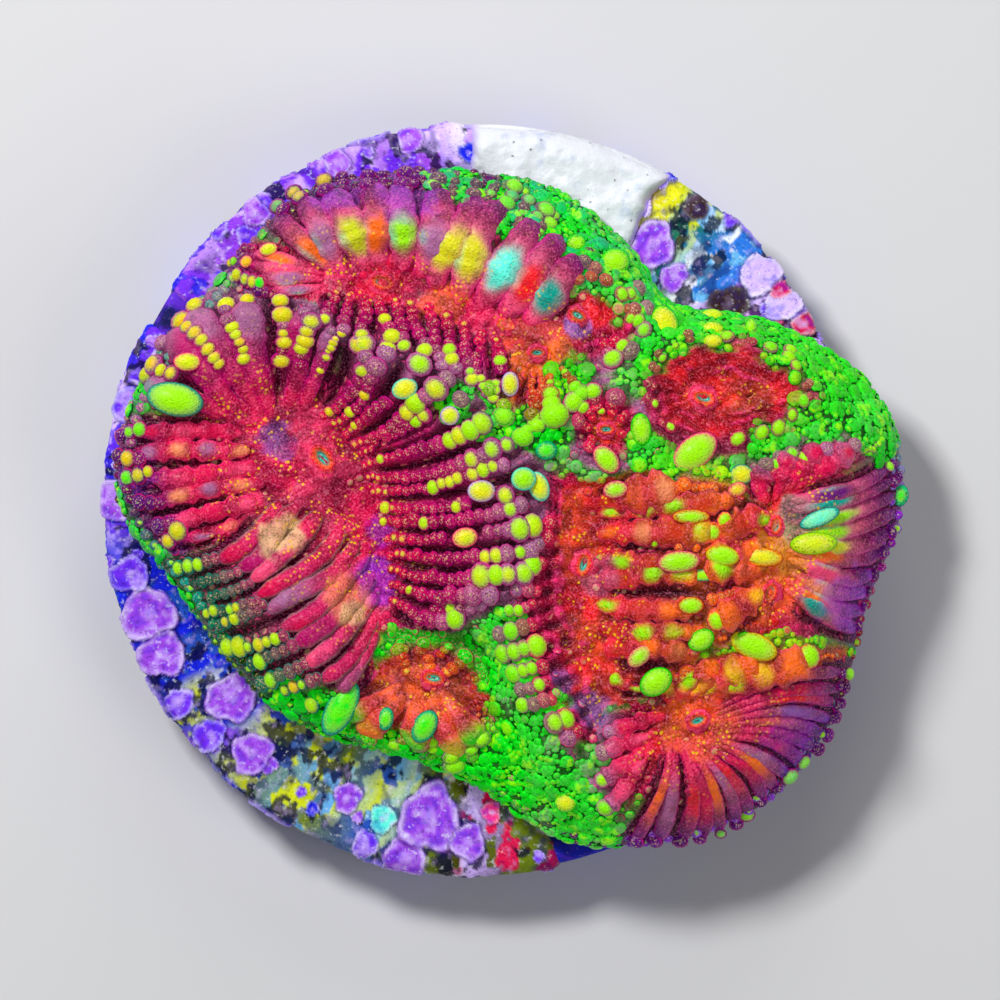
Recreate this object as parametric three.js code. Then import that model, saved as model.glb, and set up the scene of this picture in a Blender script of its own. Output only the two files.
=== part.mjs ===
// Brain coral colony grown over a round frag disc, with a pad of reef glue and coralline crusts
// on the bare parts of the disc. Millimetres, +Z up, origin at the centre of the disc's underside.
import * as THREE from 'three';

// ---- driving dimensions -------------------------------------------------------------------------
const DISC_RADIUS = 25;
const DISC_THICKNESS = 6;
const DISC_CHAMFER = 0.7;
const DISC_SEGMENTS = 72;

const COLONY_STEPS = 96; // mesh steps round the colony
const COLONY_RINGS = 21; // mesh steps from the crown to the rim
const ROUNDING_FROM = 0.84; // share of the rim radius where the top starts to round over
const LIP_RISE = 1.5; // fall of that rounding, from the top surface to the rim
const FOOT_SHARE = 0.88; // the attached foot, as a share of the rim radius
const FOOT_INSET = 1; // least distance from the foot to the disc's edge
const BLEND_RADIUS = 1.25; // how far one surface height is felt by its neighbours
const FAR_SHARE = 0.01; // and how much of it is felt at three times that distance

const CRUST_GAP = 0.35; // clear of the colony's rim
const CRUST_INSET = 0.25; // in from the disc's bevel
const CRUST_EDGE = 0.25; // thickness at the crust's margin
const CRUST_STEPS_ACROSS = 6;

// Rim radius of the colony every 15 degrees, anticlockwise from +X.
const RIM_RADII = [
  28.3, 27.5, 23.2, 18.4, 19.6, 21.2, 21.9, 22.7, 23.7, 22.9, 23.2, 24.2,
  24.1, 21.2, 20.0, 19.5, 18.5, 17.8, 19.2, 23.6, 26.2, 28.0, 27.7, 26.9,
];
const RIM_MEAN_HEIGHT = 2.7; // rim above the disc's top face: low on the overhanging side,
const RIM_HEIGHT_SWING = 1.7; // high on the other
const RIM_LOW_SIDE = THREE.MathUtils.degToRad(-15);

// Fans of septa. The foot of a fan lies in a polyp's valley and its crest on a ridge, or on the
// colony's rim where no crest height is given. Heights are above the disc's top face, and swell
// is how far the tissue between the two stands above a straight slope.
const FANS = [
  { foot: [[-17.9, 5.7], [-15.3, 6.5], [-13.9, 6.3], [-11.2, 6.3]], footHeight: 4.4, swell: 0.6,
    crest: [[-22.8, 7.2], [-21.9, 9.9], [-19.5, 13.1], [-14.9, 13.7], [-11, 12.5], [-9.3, 11]], crestHeight: 6.8 },
  { foot: [[-10.8, 5.9], [-9.2, 4.7], [-7.5, 1.6], [-6.1, -2.7], [-5.9, -7]], footHeight: 4.4, swell: 0.3,
    crest: [[-8.7, 10.8], [-4.7, 9.5], [-0.7, 7.2], [2, 4], [4, -0.4], [2.7, -5.3], [-2, -8.3]], crestHeight: 9.6 },
  { foot: [[-17, 5], [-15.3, 1.5], [-17.2, -2.3]], footHeight: 5, swell: 1,
    crest: [[-23.9, 5.3], [-24.3, 3], [-22, -1.7], [-20.1, -3.3]] },
  { foot: [[-14.5, -0.7], [-12, -1.3], [-9.5, -3], [-7.5, -7.7], [-7.2, -10]], footHeight: 5, swell: 3,
    crest: [[-20.8, -4.3], [-18.1, -8.1], [-16.3, -10.3], [-10.8, -14.1]] },
  { foot: [[-5.8, -12.1], [-4.3, -13.7], [-1.9, -12.7]], footHeight: 4.6, swell: 0.4,
    crest: [[-9.8, -14.1], [-8.5, -16.1], [-5, -16.8], [-1.2, -17.2], [1.3, -15.7]], crestHeight: 5.2 },
  { foot: [[-5.6, -11.7], [-4.3, -11.2], [-1.7, -12]], footHeight: 4.6, swell: 0,
    crest: [[-7.2, -10.3], [-5, -9.3], [-2, -9.5], [0.3, -11.5]], crestHeight: 5 },
  { foot: [[5.7, 0], [5.9, -5], [6.8, -10], [7.7, -14.8]], footHeight: 6, swell: 0.4,
    crest: [[4.2, 2], [3.9, -2.3], [2.1, -6], [1.3, -8.7], [3.2, -14.1], [6.3, -16.8]], crestHeight: 8.6 },
  { foot: [[7.7, 0.1], [8.8, -0.8], [8.4, -5.3], [9.2, -12.7]], footHeight: 6.4, swell: 0.4,
    crest: [[10.7, 1.6], [17.2, 0], [14.8, -3], [14.5, -8], [11.7, -12.7]], crestHeight: 9.4 },
  { foot: [[19.2, -0.8], [18.4, -5], [18.8, -7]], footHeight: 7.8, swell: 0.2,
    crest: [[17.2, -0.3], [15, -3], [14.9, -5.5], [16, -9.3]], crestHeight: 9.4 },
  { foot: [[20.8, 0.3], [21.1, -4.3], [20.7, -6.7]], footHeight: 7.4, swell: 0.8,
    crest: [[27.7, 3], [28.3, -0.3], [26.7, -5], [25.5, -9.3]] },
  { foot: [[18.8, -0.1], [20, 0.5], [21, 0.8]], footHeight: 7.6, swell: 0.3,
    crest: [[17.9, 2.1], [22, 3.7], [26.7, 3.7]], crestHeight: 6.6 },
  { foot: [[16.5, -13.3], [16.5, -15], [14, -16.7], [12.5, -16.3]], footHeight: 6.4, swell: 0.8,
    crest: [[25, -11], [23.7, -15.7], [20, -19.7], [15.7, -23], [9.3, -23.2]] },
  { foot: [[12.3, -13.7], [14, -12.9], [16.1, -12.9]], footHeight: 6.4, swell: 0.3,
    crest: [[11.5, -12.7], [15.7, -10.9], [24, -10.3]], crestHeight: 7.4 },
  { foot: [[12, -14.1], [11.7, -15.7], [11.9, -16.5]], footHeight: 6.2, swell: 0.2,
    crest: [[8.3, -14.8], [7.7, -18], [8.3, -22]], crestHeight: 5.4 },
  { foot: [[14, 7.2], [17, 8], [19.2, 6.9], [17.2, 6], [14, 6.7]], footHeight: 6.4, swell: 0.2, closed: true,
    crest: [[11.2, 8.5], [12.8, 10.8], [16.1, 11.3], [20.5, 10.1], [22.1, 7.3], [20.1, 4.7], [15.7, 3.5], [11.7, 5]],
    crestHeight: 7.8 },
  { foot: [[7.7, 4.9], [8.4, 5.4], [9.1, 4.9], [8.4, 4]], footHeight: 7.6, swell: 0.2, closed: true,
    crest: [[5.7, 5.9], [8.1, 7.7], [10.8, 6], [9.9, 2.8], [7, 3]], crestHeight: 9.2 },
  { foot: [[2.4, 9.2], [3.8, 8.9], [5.3, 9.3]], footHeight: 7.6, swell: 0.3,
    crest: [[-0.1, 7.2], [3.3, 3.7], [7.5, 7.2]], crestHeight: 9.6 },
  { foot: [[6.3, 13.3], [7.5, 13.6], [8.4, 12.6], [7.2, 11.3]], footHeight: 6.8, swell: 0.2,
    crest: [[5.3, 15.9], [8.7, 15.9], [11, 13.3], [10.7, 10.3], [8, 8.8]], crestHeight: 7.6 },
  { foot: [[-10.5, 15.5], [-6.3, 15.9], [-1.5, 14], [4.3, 11.9]], footHeight: 6.4, swell: 1.8,
    crest: [[-14.8, 19.2], [-12, 21.3], [-7.3, 22.1], [2, 21], [8, 15.9]] },
  { foot: [[-10, 13.9], [-5.7, 13.3], [-0.7, 11.5], [1.7, 10.3]], footHeight: 6.4, swell: 0.4,
    crest: [[-10.5, 12.1], [-8.3, 10.3], [-5, 9.6], [-2.3, 8.8], [1.3, 6.3]], crestHeight: 9.2 },
  { foot: [[-11.2, 15.9], [-10.5, 14]], footHeight: 6.4, swell: 1,
    crest: [[-16.8, 17.3], [-16.7, 15.5], [-14.5, 13.5]], crestHeight: 6.2 },
];
const FAN_STEPS = { across: 9, out: 4 }; // samples taken of each fan's surface
const RIM_SAMPLES = 48;

// Mounds on the bare parts of the disc: the stretch of the turn that each covers, in degrees,
// and its thickness, which swings about a mean a given number of times along its length.
const MOUNDS = [
  { name: 'crust_back', colour: 'coralline', from: 92, to: 118, mean: 0.7, swing: 0.15, lumps: 2, stepsAlong: 16 },
  { name: 'glue_pad', colour: 'glue', from: 61, to: 90.5, mean: 1.6, swing: 0.1, lumps: 1, stepsAlong: 18 },
  { name: 'crust_right', colour: 'coralline', from: 33, to: 59.5, mean: 0.9, swing: 0.25, lumps: 3, stepsAlong: 18 },
  { name: 'crust_front', colour: 'coralline', from: 197, to: 278, mean: 0.8, swing: 0.25, lumps: 7, stepsAlong: 48 },
];

const COLOURS = { disc: 0x4c4a78, coral: 0xc01848, glue: 0xf2f2ee, coralline: 0x8a5fd0 };
const ROUGHNESS = { disc: 0.9, coral: 0.35, glue: 0.5, coralline: 0.7 };

// ---- small maths ----------------------------------------------------------------------------------
const TURN = Math.PI * 2;
const spread = (count, make) => Array.from({ length: count }, (_, i) => make(i));

// Closed Catmull-Rom interpolation of evenly spaced values round a full turn.
function aroundTurn(values, angle) {
  const at = ((((angle / TURN) % 1) + 1) % 1) * values.length;
  const i = Math.floor(at);
  const t = at - i;
  const v = [-1, 0, 1, 2].map((k) => values[(i + k + values.length) % values.length]);
  const cubic = 3 * (v[1] - v[2]) + v[3] - v[0];
  const square = 2 * v[0] - 5 * v[1] + 4 * v[2] - v[3];
  return v[1] + 0.5 * t * (v[2] - v[0] + t * (square + t * cubic));
}

function curveThrough(points, closed = false) {
  const corners = points.map(([x, y]) => new THREE.Vector3(x, y, 0));
  return new THREE.CatmullRomCurve3(corners, closed, 'catmullrom', 0.5);
}

// ---- colony form ----------------------------------------------------------------------------------
const rimRadius = (angle) => aroundTurn(RIM_RADII, angle);
const rimHeight = (angle) => RIM_MEAN_HEIGHT - RIM_HEIGHT_SWING * Math.cos(angle - RIM_LOW_SIDE);

// Places on the living surface with a known height: a grid over each fan, and the rim.
function surfaceSamples() {
  const samples = [];
  for (const { foot, crest, footHeight, crestHeight, swell, closed = false } of FANS) {
    const inner = curveThrough(foot, closed);
    const outer = curveThrough(crest, closed);
    for (let i = 0; i < FAN_STEPS.across; i += 1) {
      const u = closed ? i / FAN_STEPS.across : i / (FAN_STEPS.across - 1);
      const [low, high] = [inner.getPoint(u), outer.getPoint(u)];
      const top = crestHeight ?? rimHeight(Math.atan2(high.y, high.x)) + LIP_RISE;
      for (let j = 0; j <= FAN_STEPS.out; j += 1) {
        const t = j / FAN_STEPS.out;
        const at = low.clone().lerp(high, t);
        samples.push([at.x, at.y, footHeight + t * (top - footHeight) + swell * Math.sin(Math.PI * t)]);
      }
    }
  }
  for (let i = 0; i < RIM_SAMPLES; i += 1) {
    const angle = (i / RIM_SAMPLES) * TURN;
    const radius = rimRadius(angle);
    samples.push([radius * Math.cos(angle), radius * Math.sin(angle), rimHeight(angle) + LIP_RISE]);
  }
  return samples;
}
const SAMPLES = surfaceSamples();

// Height of the living surface above the disc's top face: the samples blended by nearness,
// rounded over towards the rim.
function surfaceHeight(x, y) {
  let total = 0;
  let weights = 0;
  for (const [sx, sy, height] of SAMPLES) {
    const nearness = ((x - sx) ** 2 + (y - sy) ** 2) / (2 * BLEND_RADIUS ** 2);
    const weight = Math.exp(-nearness) + FAR_SHARE * Math.exp(-nearness / 9);
    total += weight * height;
    weights += weight;
  }
  const angle = Math.atan2(y, x);
  const out = Math.min(1, Math.hypot(x, y) / rimRadius(angle));
  const over = Math.max(0, (out - ROUNDING_FROM) / (1 - ROUNDING_FROM));
  const edge = rimHeight(angle);
  return edge + (total / weights - edge) * Math.sqrt(1 - over * over);
}

// ---- mesh builders --------------------------------------------------------------------------------
function geometryOf(points, triangles) {
  const geometry = new THREE.BufferGeometry();
  geometry.setAttribute('position', new THREE.Float32BufferAttribute(points.flat(), 3));
  geometry.setIndex(triangles);
  geometry.computeVertexNormals();
  return geometry;
}

// A closed shell through rings of equal length, from a top pole, down and round to a bottom pole.
// The rings run anticlockwise seen from above.
function shellOfRings(topPole, rings, bottomPole) {
  const count = rings[0].length;
  const points = [topPole, ...rings.flat(), bottomPole];
  const at = (ring, i) => 1 + ring * count + (i % count);
  const last = points.length - 1;
  const triangles = [];
  for (let i = 0; i < count; i += 1) {
    triangles.push(0, at(0, i), at(0, i + 1));
    for (let ring = 1; ring < rings.length; ring += 1) {
      triangles.push(at(ring - 1, i), at(ring, i), at(ring, i + 1));
      triangles.push(at(ring - 1, i), at(ring, i + 1), at(ring - 1, i + 1));
    }
    triangles.push(at(rings.length - 1, i), last, at(rings.length - 1, i + 1));
  }
  return geometryOf(points, triangles);
}

function colonyGeometry() {
  const angles = spread(COLONY_STEPS, (i) => (i / COLONY_STEPS) * TURN);
  const ring = (radiusAt, heightAt) => angles.map((angle) => {
    const radius = radiusAt(angle);
    const [x, y] = [radius * Math.cos(angle), radius * Math.sin(angle)];
    return [x, y, DISC_THICKNESS + heightAt(angle, x, y)];
  });
  const top = spread(COLONY_RINGS, (i) => {
    const share = Math.sin(((i + 1) / COLONY_RINGS) * (Math.PI / 2)) ** 1.15;
    return ring((angle) => share * rimRadius(angle), (angle, x, y) => surfaceHeight(x, y));
  });
  const foot = (angle) => Math.min(FOOT_SHARE * rimRadius(angle), DISC_RADIUS - FOOT_INSET);
  const between = (angle, t) => foot(angle) + t * (rimRadius(angle) - foot(angle));
  const underside = [
    ring((angle) => between(angle, 0.9), (angle) => 0.6 * rimHeight(angle)),
    ring((angle) => between(angle, 0.45), (angle) => 0.3 * rimHeight(angle)),
    ring(foot, () => 0),
  ];
  const crown = [0, 0, DISC_THICKNESS + surfaceHeight(0, 0)];
  return shellOfRings(crown, [...top, ...underside], [0, 0, DISC_THICKNESS]);
}

// A mound on the disc's top face, between the colony's rim and the disc's edge, over a stretch
// of the turn: a grid of top corners over the same grid of bottom corners, closed at its sides.
function moundGeometry({ from, to, mean, swing, lumps, stepsAlong }) {
  const along = stepsAlong + 1;
  const across = CRUST_STEPS_ACROSS + 1;
  const outer = DISC_RADIUS - DISC_CHAMFER - CRUST_INSET;
  const corner = (i, j, isTop) => {
    const [u, v] = [i / stepsAlong, j / CRUST_STEPS_ACROSS];
    const angle = THREE.MathUtils.degToRad(from + u * (to - from));
    const inner = rimRadius(angle) + CRUST_GAP;
    const radius = inner + v * (outer - inner);
    const thickness = mean + swing * Math.sin(lumps * TURN * u + 5 * v);
    const fullness = 4 * v * (1 - v) * Math.sqrt(Math.max(0, Math.sin(Math.PI * u)));
    const lift = isTop ? CRUST_EDGE + thickness * fullness : 0;
    return [radius * Math.cos(angle), radius * Math.sin(angle), DISC_THICKNESS + lift];
  };
  const layer = (isTop) => spread(along * across, (k) => corner(Math.floor(k / across), k % across, isTop));
  const top = (i, j) => i * across + j;
  const bottom = (i, j) => along * across + top(i, j);
  const triangles = [];
  const quad = (a, b, c, d) => triangles.push(a, b, c, a, c, d);
  for (let i = 0; i < stepsAlong; i += 1) {
    for (let j = 0; j < CRUST_STEPS_ACROSS; j += 1) {
      quad(top(i, j), top(i, j + 1), top(i + 1, j + 1), top(i + 1, j));
      quad(bottom(i, j), bottom(i + 1, j), bottom(i + 1, j + 1), bottom(i, j + 1));
    }
    const rim = CRUST_STEPS_ACROSS;
    quad(top(i, 0), top(i + 1, 0), bottom(i + 1, 0), bottom(i, 0));
    quad(top(i + 1, rim), top(i, rim), bottom(i, rim), bottom(i + 1, rim));
  }
  for (let j = 0; j < CRUST_STEPS_ACROSS; j += 1) {
    quad(top(0, j + 1), top(0, j), bottom(0, j), bottom(0, j + 1));
    quad(top(stepsAlong, j), top(stepsAlong, j + 1), bottom(stepsAlong, j + 1), bottom(stepsAlong, j));
  }
  return geometryOf([...layer(true), ...layer(false)], triangles);
}

function discGeometry() {
  const [r, h, c] = [DISC_RADIUS, DISC_THICKNESS, DISC_CHAMFER];
  const profile = [[0, 0], [r - c, 0], [r, c], [r, h - c], [r - c, h], [0, h]];
  const corners = profile.map(([x, y]) => new THREE.Vector2(x, y));
  return new THREE.LatheGeometry(corners, DISC_SEGMENTS).rotateX(Math.PI / 2);
}

// ---- assembly -------------------------------------------------------------------------------------
function piece(name, geometry, finish) {
  const material = new THREE.MeshStandardMaterial({
    color: COLOURS[finish],
    roughness: ROUGHNESS[finish],
    metalness: 0,
  });
  const mesh = new THREE.Mesh(geometry, material);
  mesh.name = name;
  return mesh;
}

const model = new THREE.Group();
model.add(piece('frag_disc', discGeometry(), 'disc'));
model.add(piece('coral_colony', colonyGeometry(), 'coral'));
for (const { name, colour, ...shape } of MOUNDS) {
  model.add(piece(name, moundGeometry(shape), colour));
}

export default model;
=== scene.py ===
"""The looks of a brain coral colony on its frag disc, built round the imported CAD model.

The colony is a lobed sheet of living tissue over ridges and valleys. Fans of septa run from each
valley up to the ridges, and every septum carries a row of fleshy beads. Lengths are millimetres
here and become metres when a mesh is made.
"""
import logging
import math
from collections.abc import Callable, Iterable, Sequence
from dataclasses import dataclass, field
from enum import Enum
from typing import Any, Union

import bpy
import numpy as np
from bpy.types import ColorRamp, Material, Node, NodeSocket, NodeTree, Object
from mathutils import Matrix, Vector, kdtree
from mathutils.bvhtree import BVHTree


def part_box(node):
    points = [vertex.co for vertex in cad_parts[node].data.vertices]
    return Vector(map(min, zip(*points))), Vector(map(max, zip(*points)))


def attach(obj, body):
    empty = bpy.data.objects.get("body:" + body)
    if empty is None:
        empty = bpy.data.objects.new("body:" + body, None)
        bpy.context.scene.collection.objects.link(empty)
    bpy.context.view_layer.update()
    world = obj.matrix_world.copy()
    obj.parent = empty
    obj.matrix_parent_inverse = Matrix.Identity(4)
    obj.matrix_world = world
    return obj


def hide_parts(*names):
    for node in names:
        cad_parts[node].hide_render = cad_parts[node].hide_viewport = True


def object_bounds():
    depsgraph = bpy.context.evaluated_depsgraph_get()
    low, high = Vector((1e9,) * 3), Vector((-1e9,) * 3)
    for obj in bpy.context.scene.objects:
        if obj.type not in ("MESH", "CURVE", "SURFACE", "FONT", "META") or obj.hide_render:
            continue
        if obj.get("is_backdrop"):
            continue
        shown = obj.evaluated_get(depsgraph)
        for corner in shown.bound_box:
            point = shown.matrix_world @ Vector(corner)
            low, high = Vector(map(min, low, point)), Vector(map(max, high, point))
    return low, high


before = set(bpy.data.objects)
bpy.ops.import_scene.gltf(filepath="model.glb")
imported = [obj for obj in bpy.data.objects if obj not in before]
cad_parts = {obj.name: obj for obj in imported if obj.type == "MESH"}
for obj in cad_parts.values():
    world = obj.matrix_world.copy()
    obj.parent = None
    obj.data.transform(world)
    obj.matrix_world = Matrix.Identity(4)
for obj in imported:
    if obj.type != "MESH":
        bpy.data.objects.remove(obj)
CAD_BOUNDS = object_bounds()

LOG = logging.getLogger("brain_coral")
MM = 0.001
TURN = 2 * math.pi
Array = np.ndarray
Point = tuple[float, float]
DISC_RADIUS = 25.0


# ---- colours ------------------------------------------------------------------------------------
class Hue(Enum):
    """Colours of the colony, its crusts and its disc, as display red, green and blue."""

    CRIMSON = (0.84, 0.04, 0.29)
    SCARLET = (0.92, 0.10, 0.13)
    MAGENTA = (0.70, 0.03, 0.38)
    MAROON = (0.16, 0.00, 0.07)
    PINK = (1.00, 0.20, 0.52)
    ROSE = (0.96, 0.28, 0.46)
    BLUSH = (1.00, 0.52, 0.70)
    ORANGE = (0.98, 0.42, 0.08)
    FUCHSIA = (0.86, 0.10, 0.60)
    MAUVE = (0.66, 0.40, 0.58)
    PEARL = (0.94, 0.84, 0.58)
    PEACH = (0.95, 0.55, 0.36)
    RUST = (0.76, 0.20, 0.08)
    TAN = (0.84, 0.68, 0.52)
    GRAPE = (0.40, 0.07, 0.48)
    PLUM = (0.38, 0.04, 0.36)
    ROSEWOOD = (0.66, 0.16, 0.30)
    GOLD = (0.92, 0.72, 0.08)
    YELLOW = (0.88, 0.87, 0.10)
    LIME = (0.60, 0.92, 0.02)
    NEON = (0.00, 0.90, 0.07)
    PINE = (0.00, 0.12, 0.03)
    LAGOON = (0.08, 0.42, 0.32)
    FOREST = (0.00, 0.38, 0.06)
    TEAL = (0.00, 0.62, 0.55)
    CYAN = (0.35, 0.95, 0.85)
    AZURE = (0.15, 0.45, 0.85)
    BLUE = (0.05, 0.12, 0.86)
    COBALT = (0.10, 0.30, 0.74)
    SKY = (0.40, 0.68, 0.92)
    NAVY = (0.03, 0.02, 0.35)
    VIOLET = (0.44, 0.16, 0.92)
    PURPLE = (0.60, 0.26, 0.88)
    LILAC = (0.82, 0.70, 0.99)
    WHITE = (0.94, 0.95, 0.98)
    BARK = (0.20, 0.11, 0.03)
    OLIVE = (0.42, 0.50, 0.05)
    CITRON = (0.80, 0.84, 0.08)

    @property
    def rgb(self) -> Array:
        """The colour as linear light."""
        shown = np.array(self.value)
        return np.where(shown <= 0.04045, shown / 12.92, ((shown + 0.055) / 1.055) ** 2.4)


def hues(names: Sequence[Hue]) -> Array:
    """The linear colours of several hues, one a row."""
    return np.array([hue.rgb for hue in names])


# ---- small maths --------------------------------------------------------------------------------
def smooth(low: float, high: float, value: Array) -> Array:
    """Eased step from 0 at low to 1 at high."""
    share = np.clip((np.asarray(value, float) - low) / (high - low), 0, 1)
    return share * share * (3 - 2 * share)


def blend(first: Array | Hue, second: Array | Hue, share: Array | float) -> Array:
    """Mixes two sets of colours, either of which may be one hue.

    Args:
        first: Colours where share is 0.
        second: Colours where share is 1.
        share: One number for each colour, or one for all.

    Returns:
        The mixed colours.
    """
    first, second = (tone.rgb if isinstance(tone, Hue) else tone for tone in (first, second))
    weight = np.asarray(share)[..., None]
    return first * (1 - weight) + second * weight


def ramp(at: Array, stops: Sequence[float], names: Sequence[Hue]) -> Array:
    """Colours at places along a run of hues that stand at stops."""
    shades = hues(names)
    return np.column_stack([np.interp(at, stops, shades[:, k]) for k in range(3)])


def spline(points: Sequence[Point], at: Array, closed: bool = False) -> Array:
    """Catmull-Rom curve through points.

    Args:
        points: The points that the curve passes through.
        at: Places along the curve, from 0 to 1.
        closed: Whether the curve runs on from its last point to its first.

    Returns:
        One position for each place.
    """
    corners = np.array(points, float)
    count = len(corners)
    if closed:
        place = (at % 1.0) * count
        first = np.floor(place).astype(int)
        knots = [corners[(first + step) % count] for step in (-1, 0, 1, 2)]
    else:
        place = np.clip(at, 0, 1) * (count - 1)
        first = np.minimum(place.astype(int), count - 2)
        ends = [2 * corners[0] - corners[1], 2 * corners[-1] - corners[-2]]
        corners = np.vstack([ends[:1], corners, ends[1:]])
        knots = [corners[first + step + 1] for step in (-1, 0, 1, 2)]
    share = (place - first)[..., None]
    cubic = 3 * (knots[1] - knots[2]) + knots[3] - knots[0]
    square = 2 * knots[0] - 5 * knots[1] + 4 * knots[2] - knots[3]
    return knots[1] + 0.5 * share * (knots[2] - knots[0] + share * (square + share * cubic))


def around(values: Sequence[float] | Array, angle: Array) -> Array:
    """Smooth interpolation of evenly spaced values round a full turn, from +X anticlockwise."""
    table = np.asarray(values, float)
    flat = table[:, None] if table.ndim == 1 else table
    found = spline(flat, np.asarray(angle) / TURN, closed=True)
    return found[..., 0] if table.ndim == 1 else found


class Lumps:
    """Seeded smooth noise over the plane."""

    def __init__(self, seed: int) -> None:
        """Draws the table of heights that the noise repeats."""
        self.table = np.random.default_rng(seed).random((64, 64))

    def at(self, x: Array, y: Array, size: float) -> Array:
        """Noise from 0 to 1.

        Args:
            x: Places across.
            y: Places along.
            size: Width of one lump.

        Returns:
            One value for each place.
        """
        i, j = np.floor(x / size).astype(int), np.floor(y / size).astype(int)
        u, v = x / size - i, y / size - j
        u, v = u * u * (3 - 2 * u), v * v * (3 - 2 * v)
        side = len(self.table)
        corner = lambda a, b: self.table[(i + a) % side, (j + b) % side]
        low = corner(0, 0) * (1 - u) + corner(1, 0) * u
        return low * (1 - v) + (corner(0, 1) * (1 - u) + corner(1, 1) * u) * v

    def rough(self, x: Array, y: Array, size: float) -> Array:
        """Three octaves of the noise, from 0 to 1."""
        halves = ((1.0, 4 / 7), (0.5, 2 / 7), (0.25, 1 / 7))
        return sum(share * self.at(x + 7.3 / part, y, size * part) for part, share in halves)


LUMPS = Lumps(11)


# ---- meshes -------------------------------------------------------------------------------------
def plain_mesh(
    name: str,
    points: Array,
    faces: Sequence[Array],
    attributes: dict[str, Array] | None = None,
    skin: Material | None = None,
) -> Object:
    """Makes a smooth-shaded mesh object at the origin.

    Args:
        name: The object's name.
        points: Corners, in millimetres.
        faces: Arrays of corner numbers, each array with faces of one size.
        attributes: Values kept at the corners: numbers, vectors of three or colours of four.
        skin: The material.

    Returns:
        The new object, linked to the scene.
    """
    mesh = bpy.data.meshes.new(name)
    mesh.vertices.add(len(points))
    mesh.vertices.foreach_set("co", (np.asarray(points) * MM).astype(np.float32).ravel())
    if faces:
        sizes = np.concatenate([np.full(len(group), group.shape[1]) for group in faces])
        corners = np.concatenate([group.ravel() for group in faces])
        mesh.loops.add(len(corners))
        mesh.loops.foreach_set("vertex_index", corners.astype(np.int32))
        mesh.polygons.add(len(sizes))
        mesh.polygons.foreach_set("loop_start", (np.cumsum(sizes) - sizes).astype(np.int32))
        mesh.polygons.foreach_set("use_smooth", np.ones(len(sizes), bool))
    kinds = {1: ("FLOAT", "value"), 3: ("FLOAT_VECTOR", "vector"), 4: ("FLOAT_COLOR", "color")}
    for key, values in (attributes or {}).items():
        kind, slot = kinds[1 if values.ndim == 1 else values.shape[1]]
        made = mesh.attributes.new(key, kind, "POINT")
        made.data.foreach_set(slot, values.astype(np.float32).ravel())
    mesh.update()
    mesh.validate()
    if skin:
        mesh.materials.append(skin)
    thing = bpy.data.objects.new(name, mesh)
    bpy.context.scene.collection.objects.link(thing)
    return thing


def with_alpha(colours: Array, alpha: Union[float, Array] = 1.0) -> Array:
    """Adds a fourth channel to linear colours."""
    fourth = np.broadcast_to(np.asarray(alpha, float), colours.shape[:1])
    return np.column_stack([colours, fourth])


def ring_faces(count: int, rings: int, start: int = 0) -> Array:
    """Quads between rings of corners that run anticlockwise seen from above.

    Args:
        count: Corners in each ring.
        rings: Number of rings, from the inside or top outwards and down.
        start: Number of the first ring's first corner.

    Returns:
        The quads, facing out.
    """
    ring, at = np.meshgrid(np.arange(rings - 1), np.arange(count), indexing="ij")
    here, beside = start + ring * count + at, start + ring * count + (at + 1) % count
    return np.stack([here, here + count, beside + count, beside], -1).reshape(-1, 4)


def cap_faces(ring: Array, middle: int) -> Array:
    """Triangles from a ring of corners to one in its middle, facing down."""
    return np.stack([ring, np.full_like(ring, middle), np.roll(ring, -1)], -1)


def barrel_faces(count: int, rings: int, start: int = 0) -> list[Array]:
    """Faces of a closed body of rings with a pole before the first ring and after the last.

    Args:
        count: Corners in each ring.
        rings: Number of rings, from the top outwards and down.
        start: Number of the first pole.

    Returns:
        The side's quads and the triangles of both ends, facing out.
    """
    first = start + 1 + np.arange(count)
    last = first + (rings - 1) * count
    ends = [cap_faces(first, start)[:, ::-1], cap_faces(last, last[-1] + 1)]
    return [ring_faces(count, rings, start + 1), *ends]


def grid_edge(rows: int, columns: int) -> Array:
    """Numbers of the corners round the edge of a grid."""
    numbers = np.arange(rows * columns).reshape(rows, columns)
    return np.concatenate([numbers[:-1, 0], numbers[-1, :-1], numbers[:0:-1, -1], numbers[0, :0:-1]])


def sheet_faces(rows: int, columns: int, start: int = 0) -> Array:
    """Quads of a grid whose rows run anticlockwise and whose columns run outwards."""
    i, j = np.meshgrid(np.arange(rows - 1), np.arange(columns - 1), indexing="ij")
    corner = start + i * columns + j
    return np.stack([corner, corner + 1, corner + columns + 1, corner + columns], -1).reshape(-1, 4)


def closed_slab(top: Array, bottom: Array) -> tuple[Array, list[Array]]:
    """Closes two grids of the same shape into one body.

    Args:
        top: Corners of the upper grid, rows by columns by three.
        bottom: Corners of the lower grid.

    Returns:
        All corners, and the faces.
    """
    rows, columns = top.shape[:2]
    size = rows * columns
    edge = grid_edge(rows, columns)
    after = np.roll(edge, -1)
    walls = np.stack([edge, after, after + size, edge + size], -1)
    faces = [sheet_faces(rows, columns), sheet_faces(rows, columns, size)[:, ::-1], walls]
    return np.vstack([top.reshape(-1, 3), bottom.reshape(-1, 3)]), faces


# ---- node graphs --------------------------------------------------------------------------------
def operator(operation: str, reflected: bool = False) -> Callable[["Signal", "Feed"], "Signal"]:
    """Makes a method that joins a signal and another value by a Math node.

    Args:
        operation: The Math node's operation.
        reflected: Whether the signal stands second.

    Returns:
        The method.
    """
    def join(signal: "Signal", other: "Feed") -> "Signal":
        """Adds the node."""
        pair = (other, signal) if reflected else (signal, other)
        return signal.graph.math(operation, *pair)

    return join


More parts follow.
